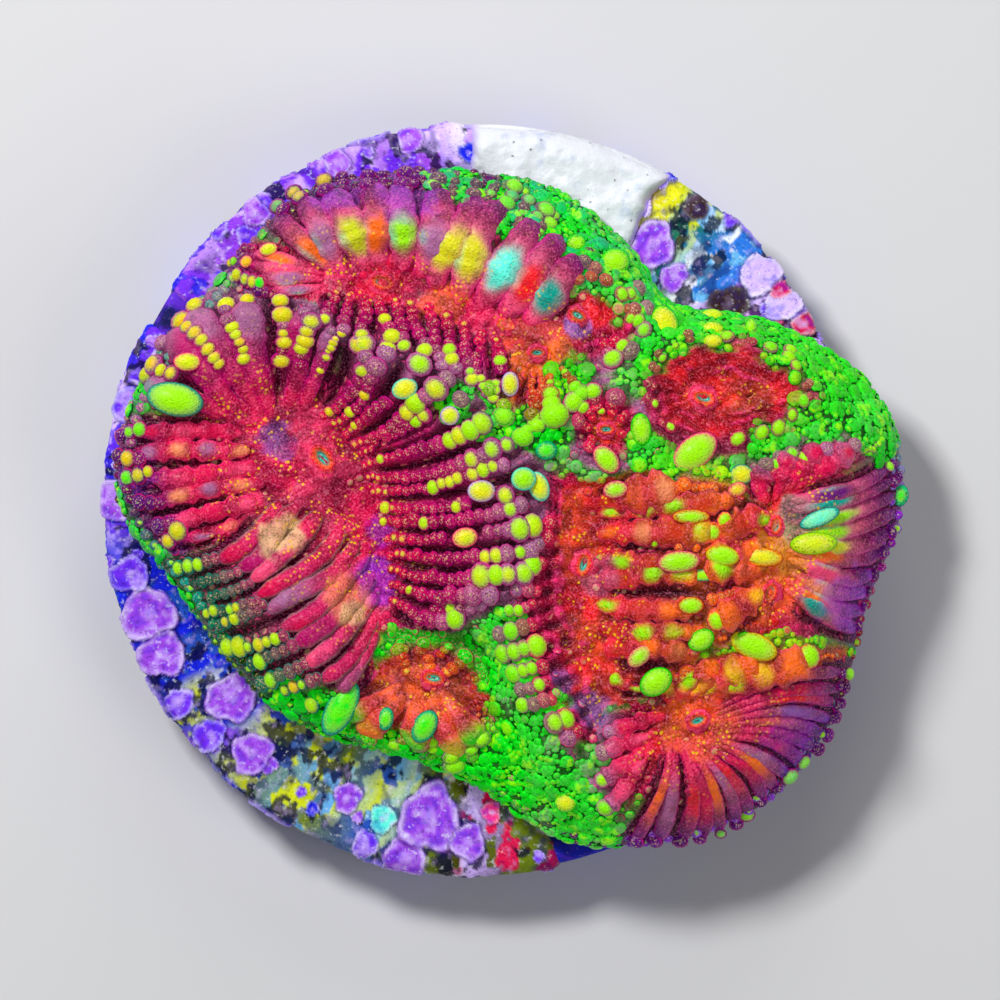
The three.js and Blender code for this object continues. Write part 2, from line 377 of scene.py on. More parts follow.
class Signal:
    """A node's output that takes part in Python arithmetic."""

    __add__, __radd__ = operator("ADD"), operator("ADD", True)
    __sub__, __rsub__ = operator("SUBTRACT"), operator("SUBTRACT", True)
    __mul__, __rmul__ = operator("MULTIPLY"), operator("MULTIPLY", True)

    def __init__(self, graph: "Graph", socket: NodeSocket) -> None:
        """Wraps one output socket of a graph."""
        self.graph = graph
        self.socket = socket


Feed = Union[Signal, Hue, float, str, tuple[float, ...]]


class Graph:
    """A node tree with one way to make a node, for shaders and for geometry."""

    def __init__(self, tree: NodeTree) -> None:
        """Starts from an emptied tree."""
        self.tree = tree
        tree.nodes.clear()

    def node(
        self, kind: str, settings: dict[str, Any] | None = None, feeds: dict[Any, Feed] | None = None
    ) -> Node:
        """Makes a node.

        Args:
            kind: The node's type.
            settings: Its own settings. "stops" sets a colour ramp.
            feeds: Values or signals for its input sockets, by name or number.

        Returns:
            The node.
        """
        made = self.tree.nodes.new(kind)
        for key, value in (settings or {}).items():
            if key == "stops":
                self._set_stops(made.color_ramp, value)
            else:
                setattr(made, key, value)
        for key, value in (feeds or {}).items():
            self.feed(self.entry(made, key), value)
        return made

    @staticmethod
    def _set_stops(ramp: ColorRamp, stops: Sequence[tuple[float, Sequence[float]]]) -> None:
        """Gives a colour ramp its stops."""
        while len(ramp.elements) < len(stops):
            ramp.elements.new(1.0)
        for element, (place, colour) in zip(ramp.elements, stops):
            element.position = place
            element.color = (*colour, 1.0)

    @staticmethod
    def entry(node: Node, key: Any) -> NodeSocket:
        """The input in use that has this name or number."""
        if isinstance(key, int):
            return node.inputs[key]
        return next(socket for socket in node.inputs if socket.name == key and socket.enabled)

    def feed(self, socket: NodeSocket, value: Feed) -> None:
        """Links a signal to a socket, or sets the socket's value or colour."""
        if isinstance(value, Signal):
            self.tree.links.new(value.socket, socket)
        elif isinstance(value, Hue):
            socket.default_value = (*value.rgb, 1.0)
        else:
            socket.default_value = value

    def out(self, node: Node, key: Any = 0) -> Signal:
        """One output of a node, by number, or by name among those in use."""
        if isinstance(key, int):
            return Signal(self, node.outputs[key])
        return Signal(self, next(s for s in node.outputs if s.name == key and s.enabled))

    def math(self, operation: str, *values: Feed) -> Signal:
        """A Math node on one or two values."""
        return self.out(self.node("ShaderNodeMath", {"operation": operation}, dict(enumerate(values))))


class Shader(Graph):
    """A material's node graph, with the patterns that the finishes share."""

    coat_roughness = 0.2

    def __init__(self, name: str) -> None:
        """Makes an empty material."""
        self.material = bpy.data.materials.new(name)
        self.material.use_nodes = True
        super().__init__(self.material.node_tree)
        self.place = self.out(self.node("ShaderNodeTexCoord"), "Object")

    def attribute(self, name: str) -> Node:
        """Reads an attribute of the mesh."""
        return self.node("ShaderNodeAttribute", {"attribute_name": name})

    def noise(self, size: float, detail: float = 2.0) -> Signal:
        """Smooth noise with lumps of a size in millimetres."""
        feeds = {"Vector": self.place, "Scale": 1 / (size * MM), "Detail": detail}
        return self.out(self.node("ShaderNodeTexNoise", None, feeds), 0)

    def cells(self, size: float, feature: str = "F1") -> Signal:
        """Distance to the nearest of scattered points, about a size in millimetres apart."""
        feeds = {"Vector": self.place, "Scale": 1 / (size * MM)}
        return self.out(self.node("ShaderNodeTexVoronoi", {"feature": feature}, feeds), 0)

    def step(self, value: Signal, low: float, high: float) -> Signal:
        """Eased step of a signal, from 0 at low to 1 at high. High may be the lower number."""
        settings = {"interpolation_type": "SMOOTHSTEP"}
        if high >= low:
            return self.out(self.node("ShaderNodeMapRange", settings, {0: value, 1: low, 2: high}))
        return 1 - self.step(value, high, low)

    def mix(self, share: Feed, first: Feed, second: Feed, way: str = "MIX") -> Signal:
        """Mixes two colours by a share."""
        settings = {"data_type": "RGBA", "blend_type": way}
        node = self.node("ShaderNodeMix", settings, {0: share, 6: first, 7: second})
        return self.out(node, 2)

    def bump(self, height: Signal, depth: float, under: Signal | None = None) -> Signal:
        """Turns a height from 0 to 1 into a normal.

        Args:
            height: The height.
            depth: Millimetres from 0 to 1.
            under: A normal that this one is added to.

        Returns:
            The normal.
        """
        feeds: dict[Any, Feed] = {"Strength": 1.0, "Distance": depth * MM, "Height": height}
        if under is not None:
            feeds["Normal"] = under
        return self.out(self.node("ShaderNodeBump", None, feeds))

    def finish(
        self, colour: Signal, roughness: Feed, specular: float, normal: Signal | None = None,
        coat: float = 0.0, glow: float = 0.0,
    ) -> Material:
        """Closes the graph with a Principled shader.

        Args:
            colour: Base colour, and the colour of any glow.
            roughness: Roughness.
            specular: Specular level.
            normal: Normal, where the surface has relief.
            coat: Weight of the wet coat.
            glow: Strength of the glow.

        Returns:
            The material.
        """
        feeds: dict[Any, Feed] = {
            "Base Color": colour, "Roughness": roughness, "Specular IOR Level": specular}
        if normal is not None:
            feeds["Normal"] = normal
        if coat:
            feeds |= {"Coat Weight": coat, "Coat Roughness": self.coat_roughness}
        if glow:
            feeds |= {"Emission Color": colour, "Emission Strength": glow}
        shader = self.node("ShaderNodeBsdfPrincipled", None, feeds)
        self.node("ShaderNodeOutputMaterial", None, {"Surface": self.out(shader)})
        return self.material


# ---- finishes -----------------------------------------------------------------------------------
@dataclass(frozen=True)
class WetTissue:
    """Thin living skin: pimpled, flecked with gold and pale grains, wet, with painted shade among the wall
    granules.
    """

    name: str = "wet_tissue"
    grain: float = 0.16
    flecks: float = 0.36
    fleck_share: float = 0.9
    roughness: float = 0.30
    specular: float = 0.14
    coat: float = 0.08
    glow: float = 0.27

    def material(self) -> Material:
        """Builds the material, which reads the tint attribute."""
        s = Shader(self.name)
        base = s.attribute("tint")
        tint, dotted = s.out(base, "Color"), s.out(base, "Alpha")
        fleck_room = s.out(s.attribute("fleck"), "Fac")
        blotch = s.noise(1.3, 3.0)
        shade = s.mix(s.step(blotch, 0.60, 0.35) * 0.5 * dotted, tint, Hue.MAROON)
        fine = s.noise(self.grain, 2.0)
        shade = s.mix(s.step(fine, 0.50, 0.68) * 0.6 * dotted, shade, s.mix(0.42, tint, Hue.BLUSH))
        shade = s.mix(s.step(fine, 0.46, 0.32) * 0.5 * dotted, shade, Hue.MAROON)
        grains = s.step(s.cells(self.flecks), 0.36, 0.22)
        room = s.step(s.noise(1.6, 2.0), 0.48, 0.60)
        shade = s.mix(grains * room * fleck_room * self.fleck_share, shade, Hue.GOLD)
        # Painted shade: the flesh among the green wall granules is darkened to pine.
        shade = s.mix(s.out(s.attribute("wall"), "Fac") * 0.8, shade, Hue.PINE)
        pimples = s.step(s.cells(self.grain * 1.6), 0.6, 0.0)
        normal = s.bump(pimples, 0.06, s.bump(s.noise(0.5, 3.0), 0.10))
        roughness = s.step(fine, 0.2, 0.8) * 0.2 + self.roughness
        return s.finish(shade, roughness, self.specular, normal, self.coat, self.glow)


@dataclass(frozen=True)
class BeadSkin:
    """Skin of a fleshy bead: a bright rim, partly its rim hue and partly painted sheen, a dusky shoulder,
    painted shade at the foot and a coloured crown.
    """

    name: str = "bead_skin"
    grain: float = 0.14
    # Heights on the bead between which the bright rim band, painted sheen, fades out.
    outline: tuple[float, float] = (0.40, 0.20)
    roughness: float = 0.38
    specular: float = 0.14
    coat: float = 0.08
    glow: float = 0.28

    def material(self) -> Material:
        """Builds the material, which reads the rise, rim, halo and core attributes."""
        s = Shader(self.name)
        core = s.attribute("core")
        rise = s.out(s.attribute("rise"), "Fac")
        fine = s.noise(self.grain, 2.0)
        height = rise + (fine - 0.5) * 0.30
        halo = s.out(s.attribute("halo"), "Color")
        rim = s.out(s.attribute("rim"), "Color")
        grains = s.step(s.cells(self.grain * 1.2), 0.45, 0.15)
        dusky = s.mix(s.step(fine, 0.52, 0.36) * 0.6, halo, Hue.MAROON)
        dusky = s.mix(grains * s.step(rise, 0.25, 0.6) * 0.7, dusky, Hue.TAN)
        # Painted sheen: the low band of the bead, its edge seen from above, takes the bright rim hue.
        shade = s.mix(s.step(height, *self.outline) * 0.95, dusky, rim)
        # Painted shade at the bead's foot, where it meets the flesh and its neighbours.
        shade = s.mix(s.step(rise, 0.24, 0.0) * 0.95, shade, Hue.MAROON)
        edge = 1 - s.out(core, "Alpha")
        crown = s.step(height - edge, -0.14, 0.10)
        lit = s.out(core, "Color")
        fringe = s.mix(0.5, lit, s.mix(0.4, halo, Hue.TAN))
        bright = s.mix(s.step(height - edge, -0.02, 0.36), fringe, lit)
        bright = s.mix(s.step(s.noise(0.9, 3.0), 0.60, 0.44) * 0.3, bright, Hue.LIME)
        bright = s.mix(s.step(fine, 0.55, 0.35) * 0.22, bright, Hue.OLIVE)
        shade = s.mix(crown, shade, bright)
        normal = s.bump(s.step(s.cells(self.grain * 1.3), 0.6, 0.0), 0.035)
        return s.finish(shade, self.roughness, self.specular, normal, self.coat, self.glow)


@dataclass(frozen=True)
class GranuleSkin:
    """Skin of small granules: a ripe crown, an outline, and painted shade at the foot where they meet the
    wall.
    """

    name: str
    crown: Hue
    rim: Hue
    foot: Hue
    ripeness: float = 0.8
    glow: float = 0.22
    roughness: float = 0.45
    specular: float = 0.12
    coat: float = 0.05

    def material(self) -> Material:
        """Builds the material, which reads the rise and tint attributes."""
        s = Shader(self.name)
        rise = s.out(s.attribute("rise"), "Fac")
        tint = s.out(s.attribute("tint"), "Color")
        fine = s.noise(0.20, 3.0)
        height = rise + (fine - 0.5) * 0.5
        crown = s.mix(s.step(s.noise(1.1, 2.0), 0.52, 0.62) * self.ripeness, tint, self.crown)
        shade = s.mix(s.step(height, 0.25, 0.65), s.mix(0.55, tint, self.rim), crown)
        shade = s.mix(s.step(fine, 0.52, 0.30) * 0.45, shade, self.foot)
        # Painted shade at the granule's foot, where it meets the wall.
        shade = s.mix(s.step(height, 0.24, 0.0) * 0.95, shade, self.foot)
        normal = s.bump(fine, 0.02)
        return s.finish(shade, self.roughness, self.specular, normal, self.coat, self.glow)


@dataclass(frozen=True)
class CrustStone:
    """Coralline and turf crust: chalky, finely pored, with its own mottling."""

    name: str = "crust_stone"
    roughness: float = 0.62
    specular: float = 0.15
    mottle: float = 0.6
    glow: float = 0.28

    def material(self) -> Material:
        """Builds the material, which reads the tint attribute."""
        s = Shader(self.name)
        tint = s.out(s.attribute("tint"), "Color")
        fine = s.noise(0.35, 4.0)
        shade = s.mix(s.step(fine, 0.57, 0.72) * self.mottle, tint, s.mix(0.6, tint, Hue.WHITE))
        shade = s.mix(s.step(fine, 0.42, 0.30) * 0.4, shade, Hue.NAVY)
        pores = s.step(s.cells(0.28), 0.10, 0.32)
        normal = s.bump(pores, 0.05, s.bump(s.noise(0.6, 4.0), 0.12))
        roughness = s.step(fine, 0.2, 0.8) * 0.2 + self.roughness
        return s.finish(shade, roughness, self.specular, normal, glow=self.glow)


@dataclass(frozen=True)
class CuredGlue:
    """White reef glue, set hard, with faint blue stains, and pinholes darkened with painted shade."""

    name: str = "cured_glue"
    roughness: float = 0.42
    specular: float = 0.45

    def material(self) -> Material:
        """Builds the material."""
        s = Shader(self.name)
        tint = s.out(s.attribute("tint"), "Color")
        spot = s.step(s.noise(1.8, 4.0), 0.54, 0.72) * 0.30
        shade = s.mix(spot, tint, Hue.AZURE)
        pinholes = s.step(s.cells(0.9), 0.05, 0.13)
        # Painted shade: navy in the pinholes.
        shade = s.mix((1 - pinholes) * 0.35, shade, Hue.NAVY)
        normal = s.bump(s.noise(0.5, 4.0), 0.10, s.bump(pinholes, 0.08))
        return s.finish(shade, s.noise(0.7, 3.0) * 0.25 + self.roughness - 0.1, self.specular, normal)


@dataclass(frozen=True)
class MottledCeramic:
    """The frag disc: rough pressed ceramic, mottled deep blue and violet."""

    name: str = "filmed_ceramic"
    roughness: float = 0.75
    specular: float = 0.3

    def material(self) -> Material:
        """Builds the material."""
        s = Shader(self.name)
        patches = s.noise(4.5, 4.0)
        grit = s.noise(0.4, 4.0)
        shade = s.mix(s.step(patches, 0.38, 0.62), Hue.NAVY, Hue.BLUE)
        shade = s.mix(s.step(s.noise(2.2, 5.0), 0.50, 0.66) * 0.8, shade, Hue.VIOLET)
        shade = s.mix(s.step(grit, 0.60, 0.78) * 0.5, shade, Hue.LILAC)
        shade = s.mix(s.step(grit, 0.40, 0.24) * 0.7, shade, Hue.NAVY)
        normal = s.bump(grit, 0.10, s.bump(s.step(s.cells(0.7), 0.05, 0.25), 0.06))
        return s.finish(shade, grit * 0.2 + self.roughness - 0.1, self.specular, normal)


# ---- the colony's plan --------------------------------------------------------------------------
@dataclass(frozen=True)
class Tissue:
    """Colours of a fan of septa, from its foot to its crest, and of the beads on it."""

    foot: Hue
    middle: Hue
    crest: Hue
    rim: Hue
    core: Hue
    core_from: float
    core_odds: float

    def along(self, share: Array) -> Array:
        """Skin colours at shares of the way from foot to crest."""
        lower = blend(self.foot, self.middle, smooth(0.0, 0.45, share))
        return blend(lower, self.crest, smooth(0.5, 0.95, share))


WINE = Tissue(Hue.CRIMSON, Hue.MAGENTA, Hue.MAUVE, Hue.FUCHSIA, Hue.YELLOW, 0.58, 0.70)
# SHORE's dark lagoon crest is painted shade at the colony's lower left edge, and its teal rim is painted rim
# light.
SHORE = Tissue(Hue.CRIMSON, Hue.MAGENTA, Hue.LAGOON, Hue.TEAL, Hue.LIME, 0.78, 0.42)
BERRY = Tissue(Hue.CRIMSON, Hue.CRIMSON, Hue.GRAPE, Hue.PINK, Hue.NEON, 0.80, 0.45)
DUSK = Tissue(Hue.CRIMSON, Hue.ROSEWOOD, Hue.GRAPE, Hue.FUCHSIA, Hue.TEAL, 0.75, 0.30)
EMBER = Tissue(Hue.SCARLET, Hue.RUST, Hue.ORANGE, Hue.ROSE, Hue.LIME, 0.45, 0.45)
FLAME = Tissue(Hue.SCARLET, Hue.CRIMSON, Hue.MAUVE, Hue.PINK, Hue.LIME, 0.62, 0.55)
CARMINE = Tissue(Hue.SCARLET, Hue.SCARLET, Hue.ROSEWOOD, Hue.PINK, Hue.LIME, 0.62, 0.55)
MOSS = Tissue(Hue.ORANGE, Hue.RUST, Hue.NEON, Hue.ROSE, Hue.LIME, 0.55, 0.70)


class Habit(Enum):
    """How the septa of a fan are shaped. For the beads: width as a share of the gap to the next
    septum, least and greatest width, and length as a share of width. For the smooth folds: width
    as a share of that gap, and how lumpy they are."""

    CHAINED = (0.84, 0.66, 1.50, 0.86, 0.0, 0.0)
    FINE = (0.70, 0.45, 0.95, 0.80, 0.0, 0.0)
    RIBBED = (0.80, 0.50, 1.20, 0.90, 1.00, 0.32)
    SWOLLEN = (0.72, 0.60, 1.15, 0.80, 1.03, 0.10)


class Zone(Enum):
    """The stretches of the colony whose septa are joined in one mesh."""

    LEFT = "septa_left"
    BACK = "septa_back"
    MIDDLE = "septa_middle"
    RIGHT = "septa_right"


@dataclass(frozen=True)
class Fan:
    """A fan of septa between a foot line in a valley and a crest line on a ridge or the rim.

    A crest without a height lies on the rim. Swell is how far the wall bulges, and relief is how
    far its septa stand up. Folds run up to folds_to and carry a coloured crown at crown_at. Beads
    start at beads_from, and chains of ripe beads at chains. Ripples are rings across the septa,
    scaly is how thickly papillae lie, and bow is how far the septa bend aside. A closed fan runs
    all the way round its valley.
    """

    zone: Zone
    tissue: Tissue
    habit: Habit
    rows: int
    foot: tuple[Point, ...]
    crest: tuple[Point, ...]
    foot_height: float
    crest_height: float | None = None
    swell: float = 0.3
    relief: float = 0.7
    folds_to: float = 0.0
    crowns: tuple[Hue, ...] = ()
    crown_at: float = 0.5
    beads_from: float = -0.05
    ripples: float = 0.0
    scaly: float = 0.5
    bow: float = 0.0
    chains: float = 0.0
    closed: bool = False

    def lines(self, across: Array) -> tuple[Array, Array]:
        """Foot and crest points at shares of the way across the fan."""
        return spline(self.foot, across, self.closed), spline(self.crest, across, self.closed)

    def track(self, across: Array, share: Array) -> Array:
        """Points of the plan at places across the fan and shares of the way up it."""
        low, high = self.lines(across)
        run = high - low
        side = np.stack([-run[..., 1], run[..., 0]], -1) / np.linalg.norm(run, axis=-1)[..., None]
        return low + share[..., None] * run + (self.bow * np.sin(math.pi * share))[..., None] * side


FANS = (
    Fan(Zone.LEFT, WINE, Habit.SWOLLEN, 6,
        ((-17.9, 5.7), (-16.8, 6.1), (-15.3, 6.5), (-13.9, 6.3), (-12.5, 6.5), (-11.2, 6.3)),
        ((-22.8, 7.2), (-21.9, 9.9), (-19.5, 13.1), (-14.9, 13.7), (-11.0, 12.5), (-9.3, 11.0)),
        4.4, 6.8, 0.6, 1.3, 0.95, (Hue.MAUVE, Hue.MAGENTA, Hue.MAUVE), 0.75, chains=0.42),
    Fan(Zone.LEFT, WINE, Habit.CHAINED, 15,
        ((-10.8, 5.9), (-9.2, 4.7), (-8.0, 3.2), (-7.5, 1.6), (-6.8, -0.3), (-6.1, -2.7), (-5.9, -5.0),
         (-5.9, -7.0)),
        ((-8.7, 10.8), (-4.7, 9.5), (-0.7, 7.2), (2.0, 4.0), (3.9, 1.3), (4.0, -2.0), (2.7, -5.3),
         (-2.0, -8.3)),
        4.4, 9.6, 0.3, 1.5, bow=-0.6),
    Fan(Zone.LEFT, BERRY, Habit.RIBBED, 6,
        ((-17.0, 5.0), (-16.3, 3.3), (-15.3, 1.5), (-15.6, -0.3), (-17.2, -2.3)),
        ((-23.9, 5.3), (-24.3, 3.0), (-23.2, 0.5), (-22.0, -1.7), (-20.1, -3.3)),
        5.0, None, 1.0, 0.7, 0.80, (Hue.ROSE, Hue.PEACH, Hue.CRIMSON, Hue.MAUVE)),
    Fan(Zone.LEFT, SHORE, Habit.SWOLLEN, 10,
        ((-14.5, -0.7), (-12.0, -1.3), (-9.5, -3.0), (-8.0, -5.0), (-7.5, -7.7), (-7.2, -10.0)),
        ((-20.8, -4.3), (-18.5, -6.0), (-18.1, -8.1), (-16.3, -10.3), (-14.0, -12.7), (-10.8, -14.1)),
        5.0, None, 3.0, 0.7, 0.64, (Hue.CRIMSON, Hue.MAGENTA, Hue.ROSE, Hue.CRIMSON, Hue.MAUVE), bow=0.9),
    Fan(Zone.MIDDLE, MOSS, Habit.SWOLLEN, 5,
        ((-5.8, -12.1), (-5.5, -13.2), (-4.3, -13.7), (-2.9, -13.6), (-1.9, -12.7)),
        ((-9.8, -14.1), (-8.5, -16.1), (-5.0, -16.8), (-1.2, -17.7), (1.3, -15.7)),
        4.6, 5.2, 0.4, 0.5, 0.85, (Hue.NEON, Hue.ORANGE, Hue.NEON, Hue.GOLD, Hue.NEON), 0.8),
    Fan(Zone.MIDDLE, MOSS, Habit.SWOLLEN, 3,
        ((-5.6, -11.7), (-4.3, -11.2), (-2.7, -11.2), (-1.7, -12.0)),
        ((-7.2, -10.3), (-5.0, -9.3), (-2.0, -9.5), (0.3, -11.5)),
        4.6, 5.0, 0.0, 0.4),
    Fan(Zone.MIDDLE, FLAME, Habit.CHAINED, 13,
        ((5.7, 0.0), (5.5, -2.3), (5.9, -5.0), (6.3, -7.3), (6.8, -10.0), (7.3, -12.7), (7.7, -14.8)),
        ((4.2, 2.0), (3.9, -2.3), (2.1, -6.0), (1.3, -8.7), (2.1, -11.7), (3.2, -14.1), (6.3, -16.8)),
        6.0, 8.6, 0.4, 0.6, beads_from=0.58, ripples=3.4, scaly=0.35),
    Fan(Zone.RIGHT, EMBER, Habit.RIBBED, 9,
        ((7.7, 0.1), (8.8, -0.8), (8.4, -3.0), (8.4, -5.3), (8.5, -7.7), (8.8, -10.0), (9.2, -12.7)),
        ((10.7, 1.6), (17.2, 0.0), (14.8, -3.0), (14.7, -5.3), (14.5, -8.0), (14.0, -10.3), (11.7, -12.7)),
        6.4, 9.4, 0.4, 0.9, 0.97, (Hue.RUST, Hue.LIME, Hue.ORANGE, Hue.LIME, Hue.PEACH, Hue.LIME, Hue.RUST)),
    Fan(Zone.RIGHT, EMBER, Habit.RIBBED, 4,
        ((19.2, -0.8), (18.5, -2.7), (18.4, -5.0), (18.8, -7.0)),
        ((17.2, -0.3), (15.0, -3.0), (14.9, -5.5), (16.0, -9.3)),
        7.8, 9.4, 0.2, 0.6, 0.97, (Hue.LIME, Hue.ORANGE, Hue.RUST, Hue.YELLOW)),
    Fan(Zone.RIGHT, DUSK, Habit.SWOLLEN, 10,
        ((20.8, 0.3), (21.1, -2.0), (21.1, -4.3), (20.7, -6.7)),
        ((27.7, 3.0), (28.3, -0.3), (26.7, -5.0), (25.5, -9.3)),
        7.4, None, 0.8, 0.7, 0.93, (Hue.GRAPE, Hue.TEAL, Hue.LIME, Hue.LIME, Hue.CITRON, Hue.ORANGE, Hue.ROSE,
                                    Hue.PEACH, Hue.ORANGE, Hue.TEAL), 0.32, bow=-0.5),
    Fan(Zone.RIGHT, FLAME, Habit.RIBBED, 4,
        ((18.8, -0.1), (20.0, 0.5), (21.0, 0.8)),
        ((17.9, 2.1), (22.0, 3.7), (26.7, 3.7)),
        7.6, 6.6, 0.3, 0.6, 0.9, (Hue.CRIMSON,)),
    Fan(Zone.RIGHT, DUSK, Habit.SWOLLEN, 17,
        ((16.5, -13.3), (16.5, -15.0), (15.5, -16.3), (14.0, -16.7), (12.5, -16.3)),
        ((25.0, -11.0), (23.7, -15.7), (20.0, -19.7), (15.7, -23.0), (9.3, -23.2)),
        6.4, None, 0.8, 0.7, 0.93, (Hue.ORANGE, Hue.CRIMSON, Hue.SCARLET, Hue.MAUVE), bow=0.7),
    Fan(Zone.RIGHT, EMBER, Habit.RIBBED, 5,
        ((12.3, -13.7), (14.0, -12.9), (16.1, -12.9)),
        ((11.5, -12.7), (15.7, -10.9), (24.0, -10.3)),
        6.4, 7.4, 0.3, 0.6, 0.97, (Hue.LIME, Hue.ORANGE, Hue.GOLD)),
    Fan(Zone.RIGHT, FLAME, Habit.RIBBED, 4,
        ((12.0, -14.1), (11.7, -15.7), (11.9, -16.5)),
        ((8.3, -14.8), (7.7, -18.0), (8.3, -22.0)),
        6.2, 5.4, 0.2, 0.5, 0.9, (Hue.CRIMSON, Hue.ROSE)),
    Fan(Zone.RIGHT, CARMINE, Habit.FINE, 22,
        ((14.0, 7.2), (14.8, 7.9), (17.0, 8.0), (19.0, 7.5), (19.2, 6.5), (17.2, 6.0), (15.0, 6.0),
         (14.0, 6.7)),
        ((11.2, 8.5), (12.8, 10.8), (16.1, 11.3), (20.5, 10.1), (22.1, 7.3), (20.1, 4.7), (15.7, 3.5),
         (11.7, 5.0)),
        6.4, 7.8, 0.2, 0.35, beads_from=0.84, ripples=3.6, scaly=0.0, closed=True),
    Fan(Zone.MIDDLE, FLAME, Habit.CHAINED, 9,
        ((7.7, 4.9), (8.4, 5.4), (9.1, 4.9), (8.8, 4.0), (7.9, 4.0)),
        ((5.7, 5.9), (8.1, 7.7), (10.8, 6.0), (9.9, 2.8), (7.0, 3.0)),
        7.6, 9.2, 0.2, 0.5, beads_from=0.25, scaly=0.9, closed=True),
    Fan(Zone.MIDDLE, MOSS, Habit.CHAINED, 6,
        ((2.4, 9.2), (3.8, 8.9), (5.3, 9.3)),
        ((-0.1, 7.2), (3.3, 3.7), (7.5, 7.2)),
        7.6, 9.6, 0.3, 0.6, beads_from=0.2, scaly=0.9),
    Fan(Zone.BACK, FLAME, Habit.CHAINED, 8,
        ((6.3, 13.3), (7.5, 13.6), (8.4, 13.1), (8.4, 12.0), (7.2, 11.3)),
        ((5.3, 15.9), (8.7, 15.9), (11.0, 13.3), (10.7, 10.3), (8.0, 8.8)),
        6.8, 7.6, 0.2, 0.4, beads_from=0.5, ripples=3.0, scaly=0.4),
    Fan(Zone.BACK, DUSK, Habit.SWOLLEN, 11,
        ((-10.5, 15.5), (-8.7, 15.5), (-6.3, 15.9), (-4.0, 15.5), (-1.5, 14.0), (1.3, 13.0), (4.3, 11.9)),
        ((-14.8, 19.2), (-12.0, 21.3), (-7.3, 22.1), (-2.7, 21.9), (2.0, 21.0), (5.7, 19.0), (8.0, 15.9)),
        6.4, None, 1.8, 0.6, 0.84, (Hue.ORANGE, Hue.MAUVE, Hue.CITRON, Hue.ORANGE, Hue.LIME, Hue.MAUVE,
                                    Hue.YELLOW, Hue.YELLOW, Hue.CYAN, Hue.SCARLET, Hue.TEAL), 0.30),
    Fan(Zone.BACK, WINE, Habit.CHAINED, 11,
        ((-10.0, 13.9), (-8.0, 13.5), (-5.7, 13.3), (-3.3, 12.7), (-0.7, 11.5), (1.7, 10.3)),
        ((-10.5, 12.1), (-8.3, 10.3), (-5.0, 9.6), (-2.3, 8.8), (-0.1, 7.5), (1.3, 6.3)),
        6.4, 9.2, 0.4, 0.9),
    Fan(Zone.BACK, BERRY, Habit.SWOLLEN, 4,
        ((-11.2, 15.9), (-10.9, 14.9), (-10.5, 14.0)),
        ((-16.8, 17.3), (-16.7, 15.5), (-14.5, 13.5)),
        6.4, 6.2, 1.0, 0.5, 0.7, (Hue.ORANGE, Hue.ROSE, Hue.MAUVE, Hue.MAUVE), 0.35),
)


@dataclass(frozen=True)
class Vesicle:
    """One of the large swollen beads: its middle, length, width and turn in degrees, and the
    colour and share of its crown."""

    x: float
    y: float
    length: float
    width: float
    turn: float
    core: Hue
    share: float = 0.8
    rim: Hue = Hue.PINK


